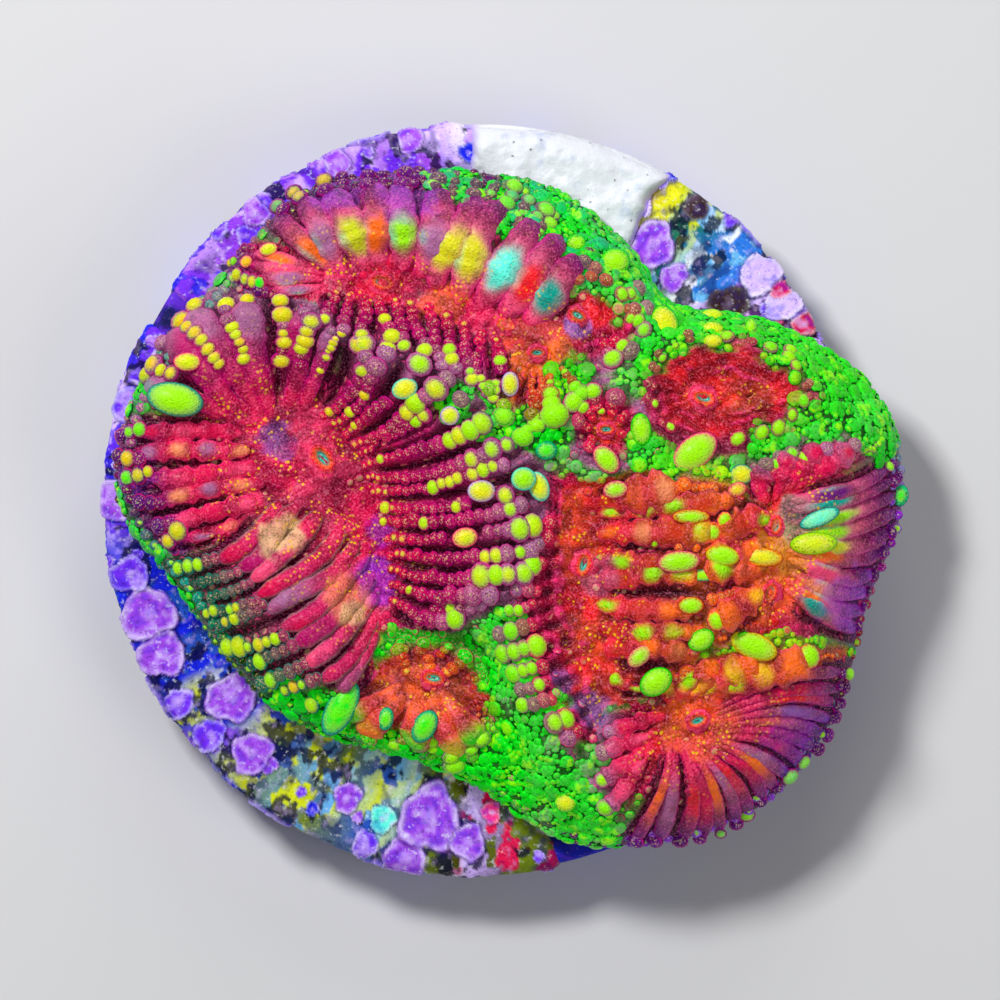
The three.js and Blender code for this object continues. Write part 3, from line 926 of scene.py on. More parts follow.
VESICLES = tuple(Vesicle(*row) for row in (
    (-20.3, 6.7, 3.9, 2.3, -12, Hue.LIME, 0.85, Hue.TEAL), (-19.5, 9.2, 1.9, 1.3, 0, Hue.YELLOW),
    (-14.1, 16.7, 1.3, 0.9, 15, Hue.YELLOW), (-15.6, 15.9, 0.9, 0.8, 50, Hue.GOLD),
    (9.0, 15.9, 2.0, 1.8, 0, Hue.LIME, 0.75, Hue.NEON),
    (6.4, 17.2, 1.3, 1.1, 0, Hue.LIME, 0.6, Hue.NEON),
    (12.3, 11.8, 2.5, 1.8, 110, Hue.YELLOW, 0.8, Hue.NEON),
    (15.5, 12.3, 1.5, 1.0, 0, Hue.YELLOW, 0.8, Hue.LIME),
    (15.5, 11.4, 1.5, 1.0, 0, Hue.YELLOW, 0.8, Hue.LIME),
    (15.5, 10.6, 1.3, 0.9, 0, Hue.YELLOW, 0.7, Hue.LIME),
    (18.1, 11.5, 0.8, 1.4, 0, Hue.LIME, 0.7, Hue.NEON),
    (14.3, 3.2, 3.5, 2.2, 38, Hue.LIME, 0.85, Hue.PINK),
    (10.7, 4.7, 2.2, 1.4, 95, Hue.LIME, 0.7, Hue.NEON),
    (8.4, 2.7, 2.2, 1.5, -50, Hue.LIME, 0.75, Hue.PINK),
    (9.0, 0.7, 1.7, 1.2, 10, Hue.LIME, 0.6, Hue.PINK),
    (17.4, 1.7, 1.6, 1.4, 0, Hue.YELLOW, 0.8, Hue.TEAL),
    (17.1, 0.7, 1.3, 1.0, 20, Hue.GOLD, 0.6, Hue.ROSE),
    (3.9, 0.9, 2.1, 1.4, -70, Hue.YELLOW, 0.8, Hue.CYAN),
    (2.9, 1.4, 1.7, 1.6, 0, Hue.LIME, 0.8, Hue.CYAN), (4.4, 3.3, 1.5, 1.3, 0, Hue.NEON, 0.6, Hue.TEAL),
    (-5.0, 7.4, 1.8, 1.4, 20, Hue.YELLOW, 0.85, Hue.CYAN),
    (0.1, 0.6, 1.9, 1.5, 0, Hue.YELLOW, 0.85, Hue.LILAC),
    (-1.0, -2.5, 1.8, 1.4, 10, Hue.YELLOW, 0.7, Hue.PINK),
    (-2.0, 5.6, 1.3, 1.3, 0, Hue.YELLOW, 0.8, Hue.LILAC),
    (2.0, 7.7, 1.2, 1.7, 0, Hue.YELLOW, 0.8, Hue.LILAC),
    (14.0, -1.1, 2.6, 1.0, 0, Hue.LIME, 0.6, Hue.SCARLET),
    (13.2, -4.1, 2.9, 1.5, 5, Hue.LIME, 0.75, Hue.ROSE),
    (16.1, -3.7, 2.3, 1.4, -8, Hue.LIME, 0.8, Hue.GOLD),
    (18.8, -3.8, 2.8, 1.3, -4, Hue.YELLOW, 0.65, Hue.ORANGE),
    (22.2, -2.9, 3.2, 1.5, 3, Hue.YELLOW, 0.6, Hue.LIME),
    (22.6, -1.2, 2.9, 1.1, 22, Hue.CYAN, 0.8, Hue.TEAL),
    (14.8, -5.0, 2.1, 0.8, 0, Hue.LIME, 0.7, Hue.TEAL),
    (14.0, -7.0, 1.8, 1.2, 0, Hue.LIME, 0.75, Hue.SCARLET),
    (14.7, -9.3, 1.9, 1.4, 30, Hue.LIME, 0.75, Hue.NEON),
    (18.2, -9.7, 3.4, 1.8, -22, Hue.LIME, 0.8, Hue.GOLD),
    (11.7, -12.1, 2.4, 1.8, 35, Hue.LIME, 0.8, Hue.NEON),
    (10.6, -10.4, 1.9, 1.2, 40, Hue.LIME, 0.6, Hue.ROSE),
    (-9.3, -13.9, 4.1, 2.0, 62, Hue.NEON, 0.85, Hue.TEAL),
    (-3.7, -15.1, 2.4, 1.6, 60, Hue.NEON, 0.75, Hue.TEAL),
    (-6.3, -14.6, 1.6, 1.1, 80, Hue.NEON, 0.6, Hue.TEAL),
    (5.7, -20.2, 1.5, 1.3, 0, Hue.YELLOW, 0.7, Hue.NEON),
    (28.2, 0.3, 1.5, 1.1, 80, Hue.NEON, 0.5, Hue.TEAL),
))


@dataclass(frozen=True)
class Bloom:
    """A soft patch of one colour on the tissue: its middle, radius and strength."""

    x: float
    y: float
    radius: float
    hue: Hue
    strength: float = 0.9


# Ridge tissue, thick with green granules.
GREEN_BLOOMS = tuple(Bloom(x, y, radius, Hue.NEON, strength) for x, y, radius, strength in (
    (-1.5, 21.3, 2.0, 0.8), (2.3, 19.6, 2.6, 0.9), (5.4, 17.8, 2.6, 0.9), (8.3, 15.8, 2.6, 0.9),
    (10.8, 13.8, 2.4, 0.9), (12.9, 11.8, 2.2, 0.9), (11.2, 9.6, 1.6, 0.9), (16.5, 12.4, 2.2, 0.9),
    (20.0, 11.4, 2.4, 0.9), (23.4, 9.5, 2.8, 0.9), (25.3, 6.8, 2.6, 0.9), (22.4, 5.2, 2.0, 0.9),
    (19.6, 3.6, 1.8, 0.9), (26.7, 4.0, 1.6, 0.8), (10.9, 3.4, 1.4, 0.9), (12.3, 1.9, 1.2, 0.9),
    (5.8, 7.9, 1.6, 0.8), (3.2, 4.9, 1.6, 0.9), (-1.6, 6.9, 1.3, 0.8), (0.9, 4.9, 1.2, 0.8),
    (5.0, 4.4, 1.3, 0.9), (1.6, -8.7, 1.4, 0.9), (2.0, -11.4, 1.8, 0.9), (0.2, -9.4, 1.2, 0.7),
    (3.8, -14.8, 2.2, 0.9), (1.4, -17.2, 2.4, 0.9), (-1.6, -17.0, 2.0, 0.9), (4.3, -18.8, 2.8, 0.9),
    (6.9, -21.4, 2.4, 0.9), (-5.3, -16.7, 1.6, 0.9), (-9.9, -14.5, 1.8, 0.9), (-12.8, -12.9, 1.4, 0.9),
    (7.4, -17.2, 1.4, 0.6), (-22.6, 8.0, 1.3, 0.7), (-6.6, -9.6, 0.9, 0.5), (9.6, 7.9, 1.4, 0.7),
))

# Stains of other colours; the blue and azure at the lower right rim and the teal at the left rim are painted
# shade.
STAINS_AND_EDGE_SHADE = (
    Bloom(-13.6, 3.9, 1.3, Hue.AZURE, 0.35), Bloom(-6.9, -5.4, 1.5, Hue.VIOLET, 0.5),
    Bloom(-6.6, -2.2, 1.0, Hue.VIOLET, 0.4), Bloom(-13.1, -2.4, 1.4, Hue.PEARL, 0.8),
    Bloom(-9.0, -6.6, 1.5, Hue.PEACH, 0.7), Bloom(-8.4, -7.6, 0.8, Hue.PEARL, 0.7),
    Bloom(8.0, -5.0, 1.3, Hue.MAUVE, 0.5),
    Bloom(7.3, -14.2, 1.4, Hue.AZURE, 0.45), Bloom(5.4, -12.0, 0.9, Hue.AZURE, 0.4),
    Bloom(19.2, -5.2, 2.6, Hue.ORANGE, 0.7), Bloom(20.3, -3.2, 1.8, Hue.GOLD, 0.5),
    Bloom(21.0, -1.2, 1.6, Hue.TEAL, 0.5), Bloom(14.6, -14.7, 2.6, Hue.ORANGE, 0.6),
    Bloom(15.2, 6.8, 1.8, Hue.SCARLET, 0.5), Bloom(21.9, -16.0, 2.6, Hue.BLUE, 0.35),
    Bloom(25.0, -7.0, 2.4, Hue.PURPLE, 0.5), Bloom(-9.8, 21.0, 2.0, Hue.PURPLE, 0.5),
    Bloom(-4.6, 20.6, 2.4, Hue.PURPLE, 0.5), Bloom(-22.9, 7.5, 1.2, Hue.TEAL, 0.6),
    Bloom(-2.4, 12.9, 1.6, Hue.ORANGE, 0.6), Bloom(-6.5, 14.6, 1.6, Hue.SCARLET, 0.5),
    Bloom(-3.6, -12.2, 1.3, Hue.ORANGE, 0.7), Bloom(6.4, 11.6, 1.0, Hue.AZURE, 0.5),
    Bloom(-23.0, 1.5, 1.5, Hue.PURPLE, 0.4), Bloom(23.5, -19.0, 2.0, Hue.AZURE, 0.35),
)


# ---- the colony's form --------------------------------------------------------------------------
@dataclass
class Form:
    """The living surface, blended from the fans as the CAD colony is."""

    disc_top: float
    rim_radii: tuple[float, ...] = (
        28.3, 27.5, 23.2, 18.4, 19.6, 21.2, 21.9, 22.7, 23.7, 22.9, 23.2, 24.2,
        24.1, 21.2, 20.0, 19.5, 18.5, 17.8, 19.2, 23.6, 26.2, 28.0, 27.7, 26.9,
    )
    rim_mean_height: float = 2.7
    rim_height_swing: float = 1.7
    rim_low_side: float = math.radians(-15)
    rounding_from: float = 0.84
    lip_rise: float = 1.5
    blend_radius: float = 1.25
    far_share: float = 0.01
    raster_step: float = 0.4
    raster_half: float = 31.0
    raster: Array = field(init=False, repr=False)

    def __post_init__(self) -> None:
        """Works the surface out once on a raster that later calls read."""
        line = np.arange(-self.raster_half, self.raster_half + self.raster_step, self.raster_step)
        x, y = np.meshgrid(line, line, indexing="ij")
        places = np.stack([x.ravel(), y.ravel()], -1)
        samples = self._samples()
        heights = []
        for part in np.array_split(places, 24):
            gaps = ((part[:, None] - samples[None, :, :2]) ** 2).sum(-1) / (2 * self.blend_radius ** 2)
            weights = np.exp(-gaps) + self.far_share * np.exp(-gaps / 9) + 1e-30
            heights.append((weights * samples[:, 2]).sum(1) / weights.sum(1))
        self.raster = np.concatenate(heights).reshape(x.shape)

    def rim_radius(self, angle: Array) -> Array:
        """Radius of the colony's outline."""
        return around(self.rim_radii, angle)

    def rim_height(self, angle: Array) -> Array:
        """Height of the outline above the disc's top."""
        return self.rim_mean_height - self.rim_height_swing * np.cos(angle - self.rim_low_side)

    def _samples(self) -> Array:
        """Places with a known height: a grid over each fan, and the rim."""
        found = []
        for fan in FANS:
            across = np.arange(9) / (9 if fan.closed else 8)
            low, high = fan.lines(across)
            for share in np.linspace(0, 1, 5):
                at = low + share * (high - low)
                if fan.crest_height is None:
                    top = self.rim_height(np.arctan2(high[:, 1], high[:, 0])) + self.lip_rise
                else:
                    top = np.full(len(across), fan.crest_height)
                rise = fan.foot_height + share * (top - fan.foot_height)
                found.append(np.column_stack([at, rise + fan.swell * math.sin(math.pi * share)]))
        angle = np.arange(48) / 48 * TURN
        radius = self.rim_radius(angle)
        rim = [radius * np.cos(angle), radius * np.sin(angle), self.rim_height(angle) + self.lip_rise]
        return np.vstack([*found, np.column_stack(rim)])

    def height(self, x: Array, y: Array) -> Array:
        """Height of the surface above the disc's underside."""
        u = np.clip((x + self.raster_half) / self.raster_step, 0, len(self.raster) - 2)
        v = np.clip((y + self.raster_half) / self.raster_step, 0, len(self.raster) - 2)
        i, j = u.astype(int), v.astype(int)
        u, v = u - i, v - j
        low = self.raster[i, j] * (1 - u) + self.raster[i + 1, j] * u
        high = self.raster[i, j + 1] * (1 - u) + self.raster[i + 1, j + 1] * u
        inner = low * (1 - v) + high * v
        angle = np.arctan2(y, x)
        out = np.minimum(1, np.hypot(x, y) / self.rim_radius(angle))
        over = np.maximum(0, (out - self.rounding_from) / (1 - self.rounding_from))
        edge = self.rim_height(angle)
        return self.disc_top + edge + (inner - edge) * np.sqrt(1 - over * over)


class Chart:
    """Tells which fan a point of the plan lies in, and where in that fan."""

    def __init__(self, step: float = 0.2) -> None:
        """Lays a grid of known places over every fan."""
        parts = []
        for number, fan in enumerate(FANS):
            low, high = fan.lines(np.linspace(0, 1, 40))
            length = np.linalg.norm(high - low, axis=1).max()
            width = max(np.linalg.norm(np.diff(line, axis=0), axis=1).sum() for line in (low, high))
            across = np.linspace(0, 1, int(width / step) + 3)
            along = np.linspace(0, 1, int(length / step) + 3)
            at = fan.track(*np.meshgrid(across, along, indexing="ij"))
            by_row = np.gradient(at, across * fan.rows, axis=0)
            by_share = np.gradient(at, along, axis=1)
            area = by_row[..., 0] * by_share[..., 1] - by_row[..., 1] * by_share[..., 0]
            area = np.where(np.abs(area) < 0.3, 0.3 * np.where(area < 0, -1, 1), area)
            row_slope = np.stack([by_share[..., 1], -by_share[..., 0]], -1) / area[..., None]
            share_slope = np.stack([-by_row[..., 1], by_row[..., 0]], -1) / area[..., None]
            rows, shares = np.meshgrid(across * fan.rows, along, indexing="ij")
            fields = [at, np.full(rows.shape, number)[..., None], rows[..., None], shares[..., None],
                      row_slope, share_slope]
            parts.append(np.concatenate(fields, -1).reshape(-1, 9))
        self.known = np.vstack(parts)
        self.tree = kdtree.KDTree(len(self.known))
        for number, place in enumerate(self.known[:, :2]):
            self.tree.insert((place[0], place[1], 0.0), number)
        self.tree.balance()

    def read(self, x: Array, y: Array) -> tuple[Array, Array, Array, Array]:
        """Finds points in their fans.

        Args:
            x: Places across.
            y: Places along.

        Returns:
            The fan's number, the place across it counted in septa, the share of the way from
            foot to crest, and the distance outside all fans.
        """
        nearest = [self.tree.find((a, b, 0.0))[1] for a, b in zip(x, y)]
        known = self.known[nearest]
        gap = np.column_stack([x, y]) - known[:, :2]
        reach = np.linalg.norm(gap, axis=1)
        inside = (reach < 0.3)[:, None]
        row = known[:, 3] + (gap * inside * known[:, 5:7]).sum(1)
        share = np.clip(known[:, 4] + (gap * inside * known[:, 7:9]).sum(1), 0, 1)
        return known[:, 2].astype(int), row, share, np.maximum(0, reach - 0.15)


def of_fans(key: str, fan: Array) -> Array:
    """One field of the fans that have these numbers."""
    return np.array([getattr(known, key) for known in FANS])[fan]


def ridge(row: Array) -> Array:
    """How near places across a fan, counted in septa, lie to a septum: 1 on it, 0 midway."""
    return 0.5 + 0.5 * np.cos(TURN * (row - 0.5))


def envelope(share: Array) -> Array:
    """How far a septum stands up at a share of the way from foot to crest."""
    return smooth(0.0, 0.28, share) * (1 - 0.55 * smooth(0.8, 1.0, share))


def bloom_share(blooms: Iterable[Bloom], x: Array, y: Array) -> Array:
    """Strength of the strongest bloom at each place, with ragged edges."""
    ragged = (LUMPS.rough(x, y, 0.9) - 0.5) * 1.1
    best = np.zeros(len(x))
    for bloom in blooms:
        reach = np.hypot(x - bloom.x, y - bloom.y) / bloom.radius + ragged
        best = np.maximum(best, bloom.strength * smooth(1.15, 0.75, reach))
    return best


# ---- the living surface -------------------------------------------------------------------------
@dataclass
class Flesh:
    """The colony's skin over ridges, grooves and flanks."""

    form: Form
    chart: Chart
    steps: int = 264
    flank_rings: int = 7
    foot_share: float = 0.88
    foot_inset: float = 1.0
    seat: float = 0.05

    def _plan(self) -> tuple[Array, Array]:
        """Plan of the top's corners: a square grid pressed evenly into the outline."""
        line = np.linspace(-1, 1, self.steps + 1)
        a, b = np.meshgrid(line, line, indexing="ij")
        wide = np.abs(a) > np.abs(b)
        with np.errstate(divide="ignore", invalid="ignore"):
            radius = np.where(wide, a, b)
            angle = np.where(wide, math.pi / 4 * b / a, math.pi / 2 - math.pi / 4 * a / b)
        angle = np.where((a == 0) & (b == 0), 0, angle)
        x, y = radius * np.cos(angle), radius * np.sin(angle)
        reach = self.form.rim_radius(np.arctan2(y, x))
        return x * reach, y * reach

    def tints(
        self, x: Array, y: Array, fan: Array, row: Array, share: Array, outside: Array
    ) -> tuple[Array, Array]:
        """Colours of the skin, with painted shade in the grooves.

        Args:
            x: Places across.
            y: Places along.
            fan: Number of the fan at each place.
            row: Place across the fan, in septa.
            share: Share of the way from foot to crest.
            outside: Distance outside all fans.

        Returns:
            The colours, and how thickly the gold flecks lie.
        """
        colours = np.zeros((len(x), 3))
        for number, known in enumerate(FANS):
            here = fan == number
            colours[here] = known.tissue.along(share[here])
        warm = smooth(0.40, 0.70, LUMPS.rough(x, y, 2.2))
        valley = 1 - smooth(0.0, 0.35, share)
        pale = np.where(x[:, None] > 1.5, Hue.ORANGE.rgb, Hue.ROSE.rgb)
        colours = blend(colours, pale, 0.45 * warm * valley)
        colours = blend(colours, Hue.MAROON, 0.5 * smooth(0.62, 0.35, LUMPS.rough(x + 9, y, 1.4)))
        for spot in STAINS_AND_EDGE_SHADE:
            colours = blend(colours, spot.hue, bloom_share([spot], x, y))
        # Painted shade: maroon in the grooves between septa, strongest where the septa stand high.
        shallow = np.clip(of_fans("relief", fan) / 0.7, 0, 1) ** 2
        dark = (1 - ridge(row)) * smooth(0.0, 0.15, share) * (1 - 0.5 * smooth(0.85, 1.0, share))
        dark = dark * (outside < 0.3) * shallow
        colours = blend(colours, Hue.MAROON, 0.9 * dark)
        green = self.greenness(x, y, share, outside)
        shade = blend(Hue.FOREST, Hue.NEON, 0.4 + 0.6 * LUMPS.rough(x, y, 0.6))
        teal = 0.6 * smooth(9, 19, y) * smooth(0.35, 0.6, LUMPS.rough(x, y + 5, 1.3))
        shade = blend(shade, Hue.TEAL, teal)
        return blend(colours, shade, green), valley * (1 - green)

    @staticmethod
    def greenness(x: Array, y: Array, share: Array, outside: Array) -> Array:
        """How green and granular the ridge tissue is."""
        between = 0.6 * smooth(0.15, 0.7, outside) * (share > 0.5)
        return np.maximum(bloom_share(GREEN_BLOOMS, x, y), between)

    def build(self, skin: Material) -> Object:
        """Makes the mesh, with its tint, fleck, wall and scaly attributes."""
        x, y = (grid.ravel() for grid in self._plan())
        fan, row, share, outside = self.chart.read(x, y)
        crest = ridge(row)
        out = np.hypot(x, y) / self.form.rim_radius(np.arctan2(y, x))
        still = (1 - smooth(0.93, 1.0, out)) * (1 - smooth(0.05, 0.5, outside))
        green = self.greenness(x, y, share, outside)
        cut = of_fans("relief", fan) * envelope(share) * (0.45 * crest - 0.75 * (1 - crest))
        cut = cut * still * (1 - 0.7 * green)
        crease = np.abs(2 * LUMPS.rough(x + 1.2 * LUMPS.at(x, y, 2.1), y, 1.9) - 1)
        knobs = 0.55 * green * (LUMPS.at(x, y, 0.9) - 0.5) + 0.16 * (LUMPS.rough(x, y, 0.8) - 0.5)
        knobs = knobs + 0.55 * (smooth(0.0, 0.3, crease) - 0.7) * (1 - envelope(share)) * (1 - green)
        z = self.form.height(x, y) + cut + knobs * (1 - smooth(0.97, 1.0, out))
        rings = of_fans("ripples", fan)
        wave = np.sin(TURN * (share * rings + 1.6 * LUMPS.rough(x, y, 2.4))) * (rings > 0) * (outside < 0.4)
        wave = wave * (0.25 + 0.75 * smooth(0.35, 0.6, LUMPS.rough(x, y + 9, 1.1)))
        z = z + 0.22 * wave * (1 - green)
        colours, fleck = self.tints(x, y, fan, row, share, outside)
        # Painted highlight on the ripples' crests and painted shade in their troughs.
        colours = blend(colours, Hue.PINK, 0.6 * smooth(0.45, 0.95, wave) * (1 - green))
        colours = blend(colours, Hue.MAROON, 0.45 * smooth(-0.4, -1.0, wave) * (1 - green))
        scaly = of_fans("scaly", fan) * (1 - green) * (0.35 + 0.65 * smooth(0.0, 0.3, share))
        top = np.column_stack([x, y, z])
        side = self.steps + 1
        edge = grid_edge(side, side)
        flank, flank_tint = self._flank(top[edge], colours[edge])
        middle = len(top) + len(flank)
        rings = np.concatenate([edge, np.arange(len(top), middle)]).reshape(-1, len(edge))
        after = np.roll(rings, -1, axis=1)
        walls = np.stack([rings[:-1], rings[1:], after[1:], after[:-1]], -1).reshape(-1, 4)
        points = np.vstack([top, flank, [[0, 0, self.form.disc_top + self.seat]]])
        on_top = {"fleck": fleck, "wall": smooth(0.25, 0.8, green), "scaly": scaly * smooth(1.0, 0.93, out)}
        bare = np.zeros(len(flank) + 1)
        return plain_mesh(
            "coral_flesh", points, [sheet_faces(side, side)[:, ::-1], walls, cap_faces(rings[-1], middle)],
            {"tint": with_alpha(np.vstack([colours, flank_tint, Hue.MAROON.rgb])),
             **{key: np.concatenate([values, bare]) for key, values in on_top.items()}},
            skin,
        )

    def _flank(self, edge: Array, colours: Array) -> tuple[Array, Array]:
        """Rings from the rim down and in to the foot on the disc.

        Args:
            edge: The rim's corners.
            colours: Their colours.

        Returns:
            The rings' corners and their colours, which carry painted shade.
        """
        angle = np.arctan2(edge[:, 1], edge[:, 0])
        radius = np.hypot(edge[:, 0], edge[:, 1])
        foot = np.minimum(self.foot_share * radius, DISC_RADIUS - self.foot_inset)
        seat = self.form.disc_top + self.seat
        points, tints = [], []
        for ring in range(1, self.flank_rings + 1):
            down = ring / self.flank_rings
            inward = (1 - math.cos(down * math.pi / 2)) ** 0.8
            reach = radius + (foot - radius) * inward
            lumps = LUMPS.at(angle * DISC_RADIUS, 40 * down * edge[:, 2], 1.2) - 0.3
            reach = reach + 0.25 * math.sin(down * math.pi) * lumps
            z = edge[:, 2] + (seat - edge[:, 2]) * down ** 1.1
            points.append(np.column_stack([reach * np.cos(angle), reach * np.sin(angle), z]))
            # Painted shade: the flank darkens to maroon towards its foot, under the rim.
            tints.append(blend(colours, Hue.MAROON, 0.35 + 0.5 * down))
        return np.vstack(points), np.vstack(tints)


# ---- beads --------------------------------------------------------------------------------------
@dataclass
class BeadBasket:
    """Gathers batches of beads before their mesh is made."""

    batches: list[tuple[Array, ...]] = field(default_factory=list)

    def add(self, place: Array, size: Array, turn: Array, rim: Array, halo: Array, core: Array) -> None:
        """Adds beads.

        Args:
            place: Middles, in millimetres.
            size: Half lengths, half widths and half heights.
            turn: Roll, pitch and yaw.
            rim: Colours of the rims, whose bright band is partly painted sheen.
            halo: Colours of the shoulders.
            core: Colours of the crowns, with the crown's share as the fourth channel.
        """
        self.batches.append((place, size, turn, rim, halo, core))

    def points(self, name: str, ground: BVHTree, grip: float = 0.7) -> Object:
        """Makes the beads a cloud of loose corners with attributes, and draws any that hang clear
        back onto the flesh.

        Args:
            name: The cloud's name.
            ground: The flesh and folds.
            grip: Furthest that a middle may lie off them, as a share of the bead's least half size.

        Returns:
            The cloud.
        """
        places, sizes, turns, rims, halos, cores = (np.vstack(column) for column in zip(*self.batches))
        for place, size in zip(places, sizes):
            near, normal = ground.find_nearest(Vector(place) * MM)[:2]
            away = Vector(place) - near / MM
            if away.dot(normal) > 0 and away.length > grip * size.min():
                place[:] = near / MM + away.normalized() * grip * size.min()
        return plain_mesh(name, places, [], {
            "size": sizes * MM, "turn": turns, "rim": with_alpha(rims), "halo": with_alpha(halos),
            "core": cores,
        })


def ground_of(*pieces: Object) -> BVHTree:
    """A search tree over the faces of the pieces that beads sit on."""
    corners, faces = [], []
    for piece in pieces:
        start = len(corners)
        corners += [corner.co.copy() for corner in piece.data.vertices]
        faces += [[start + at for at in face.vertices] for face in piece.data.polygons]
    return BVHTree.FromPolygons(corners, faces)


class Tree(Graph):
    """A Geometry Nodes tree with named inputs, and its use on an object."""

    def __init__(self, name: str, inputs: dict[str, str]) -> None:
        """Makes the tree and its interface.

        Args:
            name: The tree's name.
            inputs: Socket type by input name.
        """
        tree = bpy.data.node_groups.new(name, "GeometryNodeTree")
        super().__init__(tree)
        tree.interface.new_socket("Geometry", in_out="INPUT", socket_type="NodeSocketGeometry")
        self.keys = {}
        for key, kind in inputs.items():
            self.keys[key] = tree.interface.new_socket(key, in_out="INPUT", socket_type=kind).identifier
        tree.interface.new_socket("Geometry", in_out="OUTPUT", socket_type="NodeSocketGeometry")
        self.group = self.node("NodeGroupInput")

    def named(self, name: Feed, kind: str) -> Signal:
        """Reads a named attribute."""
        node = self.node("GeometryNodeInputNamedAttribute", {"data_type": kind}, {"Name": name})
        return self.out(node, "Attribute")

    def keep(self, geometry: Signal, name: str, kind: str, value: Feed) -> Signal:
        """Stores a named attribute on corners."""
        node = self.node("GeometryNodeStoreNamedAttribute", {"data_type": kind, "domain": "POINT"},
                         {"Geometry": geometry, "Name": name, "Value": value})
        return self.out(node)

    def ball(self) -> Signal:
        """A round bead of unit radius that remembers how high each corner is."""
        feeds = {key: self.out(self.group, key) for key in ("Segments", "Rings")}
        mesh = self.out(self.node("GeometryNodeMeshUVSphere", None, {**feeds, "Radius": 1.0}))
        place = self.out(self.node("GeometryNodeInputPosition"))
        height = self.out(self.node("ShaderNodeSeparateXYZ", None, {0: place}), 2)
        down = self.math("ARCCOSINE", height)
        return self.keep(mesh, "rise", "FLOAT", 1 - down * (2 / math.pi))

    def close(self, instances: Signal) -> None:
        """Ends the tree with real, smooth geometry in its material."""
        real = self.out(self.node("GeometryNodeRealizeInstances", None, {"Geometry": instances}))
        soft = self.out(self.node("GeometryNodeSetShadeSmooth", None, {"Geometry": real}))
        feeds = {"Geometry": soft, "Material": self.out(self.group, "Material")}
        dressed = self.out(self.node("GeometryNodeSetMaterial", None, feeds))
        self.node("NodeGroupOutput", None, {0: dressed})

    def bake(self, source: Object, name: str, values: dict[str, Any]) -> Object:
        """Runs the tree on an object and keeps the result as a plain mesh.

        Args:
            source: The object whose geometry the tree reads.
            name: The new object's name.
            values: The inputs' values, by name.

        Returns:
            The new object. The source loses the modifier again.
        """
        modifier = source.modifiers.new(self.tree.name, "NODES")
        modifier.node_group = self.tree
        for key, value in values.items():
            modifier[self.keys[key]] = value
        bpy.context.view_layer.update()
        graph = bpy.context.evaluated_depsgraph_get()
        mesh = bpy.data.meshes.new_from_object(source.evaluated_get(graph), depsgraph=graph)
        source.modifiers.remove(modifier)
        mesh.name = name
        mesh.materials.clear()
        mesh.materials.append(values["Material"])
        made = bpy.data.objects.new(name, mesh)
        bpy.context.scene.collection.objects.link(made)
        return made


def bead_tree() -> Tree:
    """A tree that sets a bead on every corner of a cloud, sized and turned by its attributes."""
    inputs = {"Segments": "NodeSocketInt", "Rings": "NodeSocketInt", "Material": "NodeSocketMaterial"}
    t = Tree("bead_rows", inputs)
    beads = t.node("GeometryNodeInstanceOnPoints", None, {
        "Points": t.out(t.group, "Geometry"), "Instance": t.ball(),
        "Rotation": t.named("turn", "FLOAT_VECTOR"), "Scale": t.named("size", "FLOAT_VECTOR"),
    })
    t.close(t.out(beads))
    return t


def granule_tree() -> Tree:
    """A tree that scatters small granules over a surface, thickest where an attribute is high."""
    inputs = {"Segments": "NodeSocketInt", "Rings": "NodeSocketInt", "Spacing": "NodeSocketFloat",
              "Least": "NodeSocketFloat", "Most": "NodeSocketFloat", "Seed": "NodeSocketInt",
              "Where": "NodeSocketString", "Flat": "NodeSocketFloat", "Material": "NodeSocketMaterial"}
    t = Tree("granules", inputs)
    entry = lambda key: t.out(t.group, key)
    scatter = t.node("GeometryNodeDistributePointsOnFaces", {"distribute_method": "POISSON"}, {
        "Mesh": entry("Geometry"), "Distance Min": entry("Spacing"), "Density Max": 2.4e7,
        "Density Factor": t.named(entry("Where"), "FLOAT"), "Seed": entry("Seed"),
    })
    size = t.node("FunctionNodeRandomValue", {"data_type": "FLOAT"},
                  {"Min": entry("Least"), "Max": entry("Most"), "Seed": entry("Seed")})
    across = t.out(size, "Value")
    shape = t.node("ShaderNodeCombineXYZ", None, {0: across, 1: across, 2: across * entry("Flat")})
    grains = t.node("GeometryNodeInstanceOnPoints", None, {
        "Points": t.out(scatter, "Points"), "Instance": t.ball(),
        "Rotation": t.out(scatter, "Rotation"), "Scale": t.out(shape),
    })
    t.close(t.out(grains))
    return t


